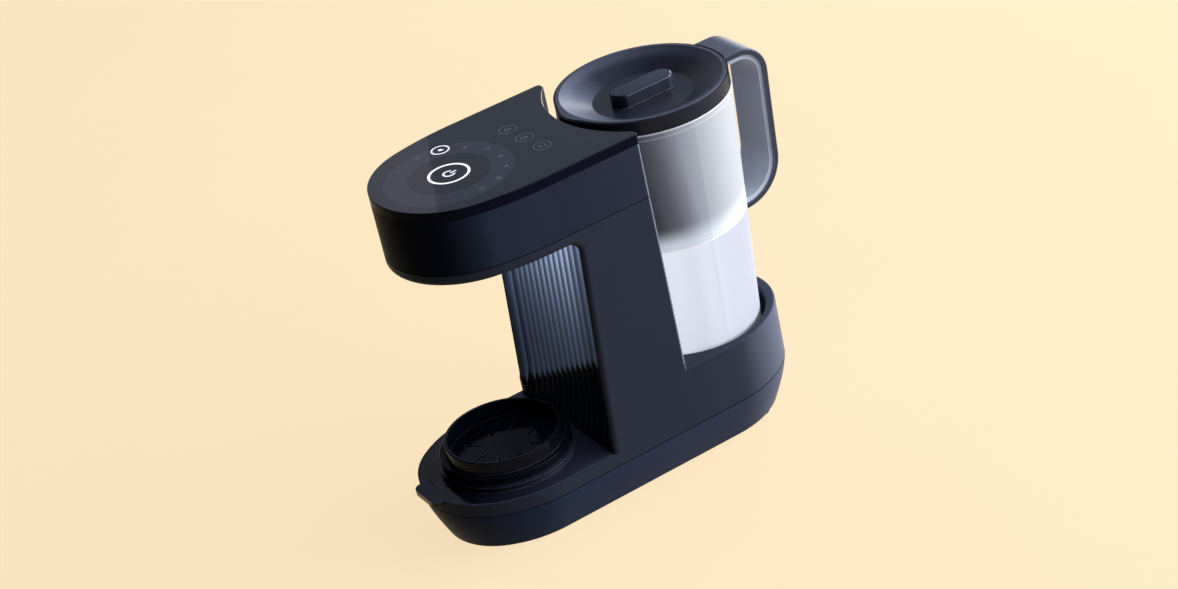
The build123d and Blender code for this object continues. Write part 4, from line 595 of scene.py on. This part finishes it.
# away and the grey ramp paint the dark column's shade into the wall above the water.
away = spread(frosted, component(frosted, place, "Y"), low.y + 0.004, high.y - 0.030, smooth=True)
streak = streaks(frosted, place, (300.0, 300.0, 3.0), 2.0)
tone = maths(frosted, "ADD", away, spread(frosted, up, WATER + 0.02, high.z, -0.05, 0.08))
tone = maths(frosted, "ADD", tone, spread(frosted, streak, 0.3, 0.7, -0.015, 0.015))
empty = ramp(frosted, tone, (0.02, "4c4e5b"), (0.28, "757986"), (0.52, "a9adba"), (0.85, "b1b3b8"))
band = spread(frosted, up, WATER + 0.004, WATER + 0.026, 1.0, 0.0, smooth=True)
above = blend(frosted, band, empty, "dbe2ec")
under = spread(frosted, up, WATER - 0.0004, WATER + 0.0002)
wet = ramp(frosted, away, (0.0, "e6ebf5"), (0.5, "e4e8f3"), (1.0, "a6a8b4"))
tint = blend(frosted, under, wet, above)
# Painted highlights: a line at the water's surface, a pale rim at the mouth and a fainter line below it.
tint = blend(frosted, line_at(frosted, up, WATER + 0.0004, 0.0004, 0.0010), tint, "f4f7fc")
tint = blend(frosted, spread(frosted, up, high.z - 0.0016, high.z - 0.0010), tint, RIM_HIGHLIGHT)
tint = blend(frosted, line_at(frosted, up, high.z - MOUTH_STEP, 0.0003, 0.0009, 0.35), tint, RIM_HIGHLIGHT)
feed(frosted, shader.inputs["Base Color"], tint)
feed(frosted, shader.inputs["Emission Color"], tint)
# This glow is painted light, strongest on the side near the column.
lit = ramp(frosted, away, (0.0, "eef0f4"), (0.4, "a0a0a0"), (0.8, "6c6c6c"))
dim = blend(frosted, maths(frosted, "MULTIPLY", band, 0.7), "303030", lit)
feed(frosted, shader.inputs["Emission Strength"], blend(frosted, under, lit, dim))
rough_up(frosted, shader, place, 1400.0, 0.03)
cloud = noise(frosted, place, 9.0)
feed(frosted, shader.inputs["Roughness"], spread(frosted, cloud, 0.3, 0.7, 0.42, 0.55))
dress(frosted, "jug_body")

# %% [markdown]
# ## Collar, lid and handle
# The lid, its grip and the collar are the same ABS as the body with a finer grain. The dish has a
# painted highlight on its rear wall and is painted paler at its rim and darker down in the dish.
# The grip is painted darker where it faces the front, as painted shade, and the pale edges of lid,
# grip, collar and handle are painted highlights. The handle's shell is a smoky slate plastic,
# painted darker where it turns to the right, as painted shade.

# %% Lid, collar and handle plastics
lid_low, lid_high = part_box("lid_dish")
# Painted light: a highlight on the dish's rear wall, a paler rim over a darker dish, and pale edges.
lid_abs = moulded("fine_satin_abs_lid", "2c2f3e", "343748", (0.30, 0.36), grain_mm=0.25,
                  edge="6c7180", edge_mm=0.5, turn=((0.17, 0.98, 0.0), 0.15, 0.55, "6e7388"),
                  run=("Z", lid_low.z, lid_high.z, (0.0, "1b1e2c"), (0.6, "232636"), (0.82, "4e5264")),
                  Specular_IOR_Level=0.45)
dress(lid_abs, "lid_dish")
# Painted light: painted shade where the grip faces the front, and painted highlights on its edges.
grip_abs = moulded("fine_satin_abs_grip", "2c2f42", "323548", (0.22, 0.30), grain_mm=0.25,
                   edge="b4b9c8", turn=((0.5, -0.87, 0.0), 0.2, 0.8, "12131d"),
                   Specular_IOR_Level=0.3)
dress(grip_abs, "lid_grip")
# Painted highlights on the collar's edges.
collar_abs = moulded("fine_satin_abs_collar", "1f212d", "252733", (0.22, 0.30), grain_mm=0.25,
                     edge="3d414f", edge_mm=0.4, Specular_IOR_Level=0.1)
dress(collar_abs, "jug_collar")
# Painted light: painted shade where the shell turns to the right, and painted highlights on its edges.
slate = moulded("smoky_slate_plastic", "5e6372", "656a79", (0.30, 0.38), grain_mm=0.3,
                edge="70768a", edge_mm=0.6, turn=((1.0, 0.0, 0.0), 0.5, 0.95, "343945"),
                Specular_IOR_Level=0.12)
dress(slate, "jug_handle")

# %% [markdown]
# ## The lid's grip
# The grip is a long bar with round ends, moulded hollow and welded into the dish. The CAD model
# keeps it a little short; here it gets its full length. We start from a filled circle, pull its
# two halves apart, push the face up and round the upper edge.

# %% Grip bar
GRIP_LENGTH, GRIP_WIDTH, GRIP_EDGE = 0.0618, 0.0216, 0.0022
GRIP_SEGMENTS = 96
low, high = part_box("lid_grip")
bar = bmesh.new()
bmesh.ops.create_circle(bar, cap_ends=True, segments=GRIP_SEGMENTS, radius=GRIP_WIDTH / 2)
bmesh.ops.rotate(bar, matrix=Matrix.Rotation(pi / GRIP_SEGMENTS, 3, "Z"), verts=bar.verts)
for vert in bar.verts:
    vert.co.y += (GRIP_LENGTH - GRIP_WIDTH) / 2 * (1 if vert.co.y > 0 else -1)
grown = bmesh.ops.extrude_face_region(bar, geom=bar.faces[:])["geom"]
upper = [v for v in grown if isinstance(v, bmesh.types.BMVert)]
bmesh.ops.translate(bar, vec=(0, 0, high.z - low.z), verts=upper)
upper_edges = [e for e in bar.edges if e.verts[0] in upper and e.verts[1] in upper]
bmesh.ops.bevel(bar, geom=upper_edges, offset=GRIP_EDGE, segments=8, profile=0.5, affect="EDGES")
bmesh.ops.translate(bar, vec=((low.x + high.x) / 2, (low.y + high.y) / 2, low.z), verts=bar.verts)
close(bar)
grip_bar = new_object("grip_bar", bar, grip_abs, sharp=True)
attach(grip_bar, "lid")
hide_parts("lid_grip")

# %% [markdown]
# ## The handle's liner
# The liner that the hand closes on is frosted like the jug, but grey. It is painted palest at its
# two ends, where the jug's light reaches it, and its thin bright edge is a painted highlight; a
# faint glow in it is painted light.

# %% Frosted liner of the handle
liner_low, liner_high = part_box("jug_handle_liner")
liner, shader, place = new_material("frosted_grey_liner", Roughness=0.4, Specular_IOR_Level=0.12)
tint = colours_along(liner, place, "Z", liner_low.z, liner_high.z,
                     (0.0, "aeb5c0"), (0.3, "828899"), (0.8, "858b9d"), (1.0, "a0a6b5"))
# The pale ends, the bright edge and the glow below are painted light.
tint = blend(liner, edge_mask(liner, 0.8), tint, "d3d9e4")
feed(liner, shader.inputs["Base Color"], tint)
feed(liner, shader.inputs["Emission Color"], tint)
shader.inputs["Emission Strength"].default_value = 0.12
rough_up(liner, shader, place, 1400.0, 0.03)
dress(liner, "jug_handle_liner")

# %% [markdown]
# ## Lights in the machine
# The power ring, the ring round the chosen dose and the night light are clear light guides in
# front of white diodes. They glow evenly, so an emission near the white of the picture is
# right, with a slight cloudiness.

# %% Light guides
guide, shader, place = new_material("lit_light_guide", Roughness=0.3)
tint = ramp(guide, noise(guide, place, 400.0, 1.0), (0.3, "e9eef8"), (0.7, "ffffff"))
feed(guide, shader.inputs["Base Color"], tint)
feed(guide, shader.inputs["Emission Color"], tint)
shader.inputs["Emission Strength"].default_value = 0.75
dress(guide, "power_ring_light", "dose_ring_light", "night_light_lens")

# %% [markdown]
# ## Rubber, silicone, metal and works plastics
# What the eye meets only from below or with the jug lifted still has its real finish: soft
# matt rubber feet, cloudy silicone seals, brushed steel screws and plain natural plastics.

# %% Small parts
rubber = moulded("matt_rubber", "0b0b0c", "141415", (0.75, 0.9), grain_mm=0.6, depth_mm=0.05)
dress(rubber, "rubber_feet", "pump_mounts")
silicone = moulded("cloudy_silicone", "b9bcbe", "cfd2d3", (0.45, 0.6), grain_mm=0.8, IOR=1.41)
dress(silicone, "lid_seal", "valve_seal", "dock_seal", "nozzle_outlet", "hose_inlet", "hose_suction", "hose_riser",
      "hose_boiler", "hose_hot", "hose_cold")
acetal = moulded("natural_acetal", "8f9296", "a2a5a8", (0.35, 0.45), grain_mm=0.5, IOR=1.48)
dress(acetal, "nozzle_body", "valve_seat", "valve_cap", "valve_plunger", "dock_probe", "flow_meter", "flow_meter_cap",
      "flow_rotor", "pump_head", "diverter_block", "speaker")
filter_white = moulded("white_polypropylene", "d5d7da", "e4e6e8", (0.4, 0.5), grain_mm=0.5, IOR=1.49)
dress(filter_white, "filter_cartridge")
trim = moulded("black_nylon_trim", "08090c", "101116", (0.4, 0.55), grain_mm=0.4, IOR=1.53)
dress(trim, "nozzle_ring", "mains_inlet", "power_components", "diverter_coil")
board = moulded("solder_mask_green", "0c3a1e", "125028", (0.25, 0.35), grain_mm=1.5)
dress(board, "touch_board", "night_light_board", "power_board")

# %% Brushed steel
steel, shader, place = new_material("brushed_stainless_steel", Metallic=1.0)
brush = streaks(steel, place, (300.0, 300.0, 6000.0), 3.0)
feed(steel, shader.inputs["Base Color"], ramp(steel, brush, (0.3, "a9abad"), (0.7, "c6c8c9")))
feed(steel, shader.inputs["Roughness"], spread(steel, brush, 0.3, 0.7, 0.22, 0.4))
dress(steel, "base_screws", "board_screws", "valve_spring", "boiler", "boiler_clamps", "thermostats", "pump_motor",
      "pump_rotor", "diverter_core")

# %% [markdown]
# ## The valve's spring
# The CAD model holds the valve's spring as a plain sleeve. Here it is wound from steel wire: a
# small circle is spun about the stem and rises a little with each step, which makes a helix.

# %% Wire spring
WIRE = 0.0003
TURNS, STEPS_PER_TURN = 6, 32
END_GAP = 1.2 * WIRE
low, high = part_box("valve_spring")
stem = (low + high) / 2
coil_radius = (high.x - low.x) / 2 - WIRE
steps = TURNS * STEPS_PER_TURN
climb = (high.z - low.z - 2 * END_GAP) / steps
coil = bmesh.new()
bmesh.ops.create_circle(coil, segments=8, radius=WIRE)
bmesh.ops.rotate(coil, matrix=Matrix.Rotation(pi / 2, 3, "X"), verts=coil.verts)
bmesh.ops.translate(coil, vec=Vector((stem.x + coil_radius, stem.y, low.z + END_GAP)), verts=coil.verts)
bmesh.ops.spin(coil, geom=coil.edges[:] + coil.verts[:], cent=stem, axis=(0, 0, 1), dvec=(0, 0, climb),
               angle=2 * pi * TURNS, steps=steps)
close(coil)
spring = new_object("valve_spring_coil", coil, steel)
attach(spring, "jug")
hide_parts("valve_spring")
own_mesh(spring)

# %% [markdown]
# ## What is printed on the glass
# The dial's doses, the power sign and three touch buttons are screen printed: ink about two
# hundredths of a millimetre proud of the acrylic. Flat rings and arcs come from one short edge
# that bmesh spins about the middle; numbers start as text and become a mesh, so that nothing
# depends on a font later. Each print is its own thin piece, riding with the housing.

# %% Print helpers
INK = 0.00002
DIAL_TO_DRAWING = 0.0467
top = panel_top + INK


def on_glass(x, y):
    """A place on the panel, from millimetres in the machine's drawing."""
    return Vector((x / 1000, y / 1000 + dial.y + DIAL_TO_DRAWING, top))


def print_piece(name, draw, material, body="housing"):
    """Make a flat piece from what `draw` puts in a bmesh, and let it ride."""
    shape = bmesh.new()
    draw(shape)
    bmesh.ops.remove_doubles(shape, verts=shape.verts, dist=1e-7)
    for face in shape.faces:
        face.normal_update()
        if face.normal.z < 0:
            face.normal_flip()
    piece = new_object(name, shape, material)
    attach(piece, body)


def arc(shape, centre, inner, outer, start=0.0, sweep=360.0, steps=64):
    """Flat ring or arc: a radial edge spun about a centre; radii in millimetres."""
    ray = Vector((cos(radians(start)), sin(radians(start)), 0.0))
    ends = [shape.verts.new(centre + ray * r / 1000) for r in (inner, outer)]
    edge = shape.edges.new(ends)
    bmesh.ops.spin(shape, geom=[*ends, edge], cent=centre, axis=(0, 0, 1), angle=radians(sweep), steps=steps,
                   use_merge=sweep == 360.0)


def stroke(shape, start, end, width):
    """Flat bar between two points; width in millimetres."""
    aside = Vector((0, 0, 1)).cross((end - start).normalized()) * width / 2000
    shape.faces.new([shape.verts.new(p) for p in (start - aside, end - aside, end + aside, start + aside)])


print("prints at", round(top, 5))

# %% Inks
def ink(name, colour, glow, gloss_level=0.3):
    """Screen ink, with the speckle of a coarse mesh."""
    material, shader, place = new_material(name, Roughness=0.35, Specular_IOR_Level=gloss_level)
    speckle = noise(material, place, 2500.0, 1.0)
    tint = blend(material, spread(material, speckle, 0.35, 0.65, 0.0, 0.2), colour, "000000")
    feed(material, shader.inputs["Base Color"], tint)
    feed(material, shader.inputs["Emission Color"], tint)
    shader.inputs["Emission Strength"].default_value = glow
    return material


lit_ink = ink("lit_white_ink", "f4f6fb", 0.7)
dim_ink = ink("dim_grey_ink", "7a7f8b", 0.16)
print("inks", lit_ink.name, dim_ink.name)

# %% Lit signs
dose = middle_of("dose_ring_light")
ring_low, ring_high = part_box("power_ring_light")
RING = (ring_high.x - ring_low.x) * 500


def power_sign(shape):
    centre = Vector((dial.x, dial.y, top))
    arc(shape, centre, RING - 0.4, RING + 0.6)
    arc(shape, centre, 3.9, 5.7, start=128, sweep=284, steps=40)
    stroke(shape, centre + Vector((0, 0.0012, 0)), centre + Vector((0, 0.0072, 0)), 1.8)


def dose_sign(shape):
    centre = Vector((dose.x, dose.y, top))
    arc(shape, centre + Vector((0, -0.0003, 0)), 0.0, 1.7, steps=24)
    stroke(shape, centre + Vector((0.0004, 0, 0)), centre + Vector((0.0020, 0.0024, 0)), 1.3)


print_piece("power_sign", power_sign, lit_ink)
print_piece("dose_sign", dose_sign, lit_ink)

# %% Numbers round the dial
NUMBER_SIZE = 0.0064
DIAL_MARKS = [("4", -47.5, -50.0), ("6", -28.4, -12.4), ("7", -8.9, -1.8), ("8", 13.0, -1.4),
              ("9", 33.0, -8.5), ("10", 46.6, -24.1), ("11", 51.3, -42.7)]


def number_piece(text, x, y):
    """A number as a mesh, centred where it is printed."""
    curve = bpy.data.curves.new("dose_" + text, "FONT")
    curve.body, curve.size = text, NUMBER_SIZE
    curve.align_x = curve.align_y = "CENTER"
    maker = bpy.data.objects.new("maker", curve)
    printed = bpy.data.meshes.new_from_object(maker)
    bpy.data.objects.remove(maker)
    printed.transform(Matrix.Translation(on_glass(x, y)))
    printed.materials.clear()
    printed.materials.append(dim_ink)
    piece = bpy.data.objects.new("dose_" + text, printed)
    bpy.context.scene.collection.objects.link(piece)
    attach(piece, "housing")


for mark in DIAL_MARKS:
    number_piece(*mark)
print(len(DIAL_MARKS), "numbers")

# %% Three touch buttons: drop, flask and rinse
LINE = 0.6


def buttons(shape):
    drop, flask, rinse = on_glass(-25.8, 29.3), on_glass(0.8, 30.3), on_glass(27.0, 31.9)
    for centre in (drop, flask, rinse):
        arc(shape, centre, 7.5, 8.0, steps=48)
    arc(shape, drop - Vector((0, 0.0010, 0)), 1.7, 2.3, start=150, sweep=240, steps=24)
    for side in (-1, 1):
        stroke(shape, drop + Vector((side * 0.0018, 0.0001, 0)), drop + Vector((0, 0.0038, 0)), LINE)
        stroke(shape, flask + Vector((side * 0.0016, -0.0035, 0)), flask + Vector((side * 0.0016, 0.0018, 0)), LINE)
    for rise, half in ((-0.0035, 0.0019), (0.0018, 0.0019), (0.0036, 0.0008)):
        stroke(shape, flask + Vector((-half, rise, 0)), flask + Vector((half, rise, 0)), LINE)
    for turn in (20, 200):
        arc(shape, rinse, 2.4, 3.0, start=turn, sweep=140, steps=16)


print_piece("button_rings", buttons, dim_ink)

# %% [markdown]
# ## A mark on the deck
# Two small arcs engraved beside the finger tab tell where to press the tray down. They are drawn
# as a thin, nearly black and quite matt sheet, painted shade for the grooves, so they show as a
# dark line on the shiny deck.

# %% Engraved press mark
DECK_TOP = 0.0555
# A black sheet of painted shade for the engraved grooves.
engraved = ink("engraved_line_matt", "030306", 0.0, 0.0)


def press_mark(shape):
    arc(shape, Vector((-0.0140, -0.1845, DECK_TOP + INK)), 5.2, 6.0, start=200, sweep=120, steps=16)
    arc(shape, Vector((0.0020, -0.1880, DECK_TOP + INK)), 4.2, 5.0, start=30, sweep=110, steps=16)


print_piece("press_mark", press_mark, engraved, body="tray")

# %% [markdown]
# ## The studio
# A wide peach floor fills the view. Most of its colour is its own glow, seen by the camera and
# in reflections, so it stays even; the rest is lit by the lamps and keeps the machine's soft
# shadow. The sky is pale behind the machine and dark in front of it, like a studio with one
# white wall, so the head's nose stays nearly black and the sides stay even.

# %% Floor
FLOOR_HALF = 6.0
PEACH = linear("ffe8c3")
LIT_SHARE = 0.15
GLOW_LOW, GLOW_HIGH = 0.880, 0.890

shape = bmesh.new()
bmesh.ops.create_grid(shape, x_segments=2, y_segments=2, size=FLOOR_HALF)
paper = cleared(bpy.data.materials.new("peach_backdrop_paper"))
floor = new_object("floor", shape, paper)
floor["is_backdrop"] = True

path = add(paper, "LightPath").outputs
seen = maths(paper, "MAXIMUM", path["Is Camera Ray"], path["Is Glossy Ray"])
seen = maths(paper, "MAXIMUM", seen, path["Is Transmission Ray"])
fibre = noise(paper, add(paper, "TexCoord").outputs["Object"], 3.0)
strength = maths(paper, "MULTIPLY", seen, spread(paper, fibre, 0.3, 0.7, GLOW_LOW, GLOW_HIGH))
matt = add(paper, "BsdfDiffuse", None, Color=tuple(c * LIT_SHARE for c in PEACH[:3]) + (1.0,))
own = add(paper, "Emission", None, Color=PEACH, Strength=strength)
both = add(paper, "AddShader", None, in0=matt.outputs[0], in1=own.outputs[0])
add(paper, "OutputMaterial", None, Surface=both.outputs[0])

# %% Sky
world = cleared(bpy.data.worlds.new("studio"))
direction = component(world, add(world, "TexCoord").outputs["Generated"], "Y")
sky = ramp(world, spread(world, direction, -0.5, 0.6, smooth=True),
           (0.0, "0b0d12"), (0.55, "6c7384"), (1.0, "9aa3b8"))
add(world, "OutputWorld", None, Surface=add(world, "Background", None, Color=sky, Strength=1.0).outputs[0])
bpy.context.scene.world = world
print("sky ready")

# %% Lamps
def area_lamp(name, size, energy, colour, matrix):
    """A rectangular lamp that shines down its own Z axis."""
    lamp = bpy.data.lights.new(name, "AREA")
    lamp.shape, lamp.size, lamp.size_y = "RECTANGLE", size[0], size[1]
    lamp.energy, lamp.color = energy, colour
    holder = bpy.data.objects.new(name, lamp)
    bpy.context.scene.collection.objects.link(holder)
    holder.matrix_world = matrix
    print(name, round(energy, 2), "W")


def softbox(name, place, aim, size, level, colour, reach=None):
    """A soft lamp; level is how bright it lights a white card that faces it at the machine."""
    away = Vector(place) - Vector(aim)
    energy = level * pi ** 2 * (reach or away.length) ** 2
    area_lamp(name, size, energy, colour, Matrix.Translation(place) @ away.to_track_quat("Z", "Y").to_matrix().to_4x4())


MIDDLE = (0.0, 0.03, 0.18)
softbox("key_right_rear", (1.9, 2.1, 1.3), MIDDLE, (1.6, 1.6), 0.62, (0.93, 0.96, 1.0))
softbox("fill_right", (2.85, 1.0, 0.9), MIDDLE, (1.2, 1.2), 0.28, (0.95, 0.97, 1.0))
softbox("rear_right", (0.6, 2.8, 0.9), MIDDLE, (1.2, 1.0), 1.25, (0.90, 0.95, 1.0))
softbox("rim_left_rear", (-1.3, 1.9, 0.6), MIDDLE, (0.9, 0.6), 0.3, (0.95, 0.97, 1.0))

# %% [markdown]
# The glass mirrors one more softbox, whose straight edge runs across the dial. To place that
# edge we mirror the lens in the glass: a line from there through a point on the glass meets
# the lamp that the point shows.

# %% Softbox seen in the glass
EDGE_FRONT = Vector((0.05201, -0.14807, panel_top))
EDGE_REAR = Vector((-0.07987, -0.08239, panel_top))
BEYOND_GLASS = 1.6
BOX_WIDTH, BOX_LENGTH, BOX_LEVEL = 0.8, 1.6, 0.20
under_glass = Vector((eye.x, eye.y, 2 * panel_top - eye.z))
near, far = [under_glass + (p - under_glass) * BEYOND_GLASS for p in (EDGE_FRONT, EDGE_REAR)]
edge_way = (near - far).normalized()
sight = ((near + far) / 2 - under_glass).normalized()
outward = sight.cross(edge_way).normalized()
if outward.y > 0:
    outward = -outward
centre = (near + far) / 2 + outward * BOX_WIDTH / 2
facing = Matrix((outward, edge_way, outward.cross(edge_way))).transposed().to_4x4()
matrix = Matrix.Translation(centre) @ facing
if (matrix.to_3x3() @ Vector((0, 0, -1))).dot(dial - centre) < 0:
    matrix = matrix @ Matrix.Rotation(pi, 4, "Y")
area_lamp("glass_softbox", (BOX_WIDTH, BOX_LENGTH), BOX_LEVEL * pi * BOX_WIDTH * BOX_LENGTH, (1.0, 0.84, 1.02), matrix)

# %% [markdown]
# The last lamp is the night light itself: a short strip just under its lens that shines down
# onto the tray. Its level is given for a card a tenth of a metre away.

# %% Night light lamp
low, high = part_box("night_light_lens")
lens = middle_of("night_light_lens")
softbox("night_light", (lens.x, lens.y, low.z - 0.001), (lens.x, lens.y + 0.01, 0.0), (0.055, 0.006), 0.5,
        (0.72, 0.82, 1.0), reach=0.1)

# %% [markdown]
# ## The dressed machine's size
# We print the size of the dressed machine's box.

# %% Sizes
low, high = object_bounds()
print("visual box", [round(v, 4) for v in high - low])
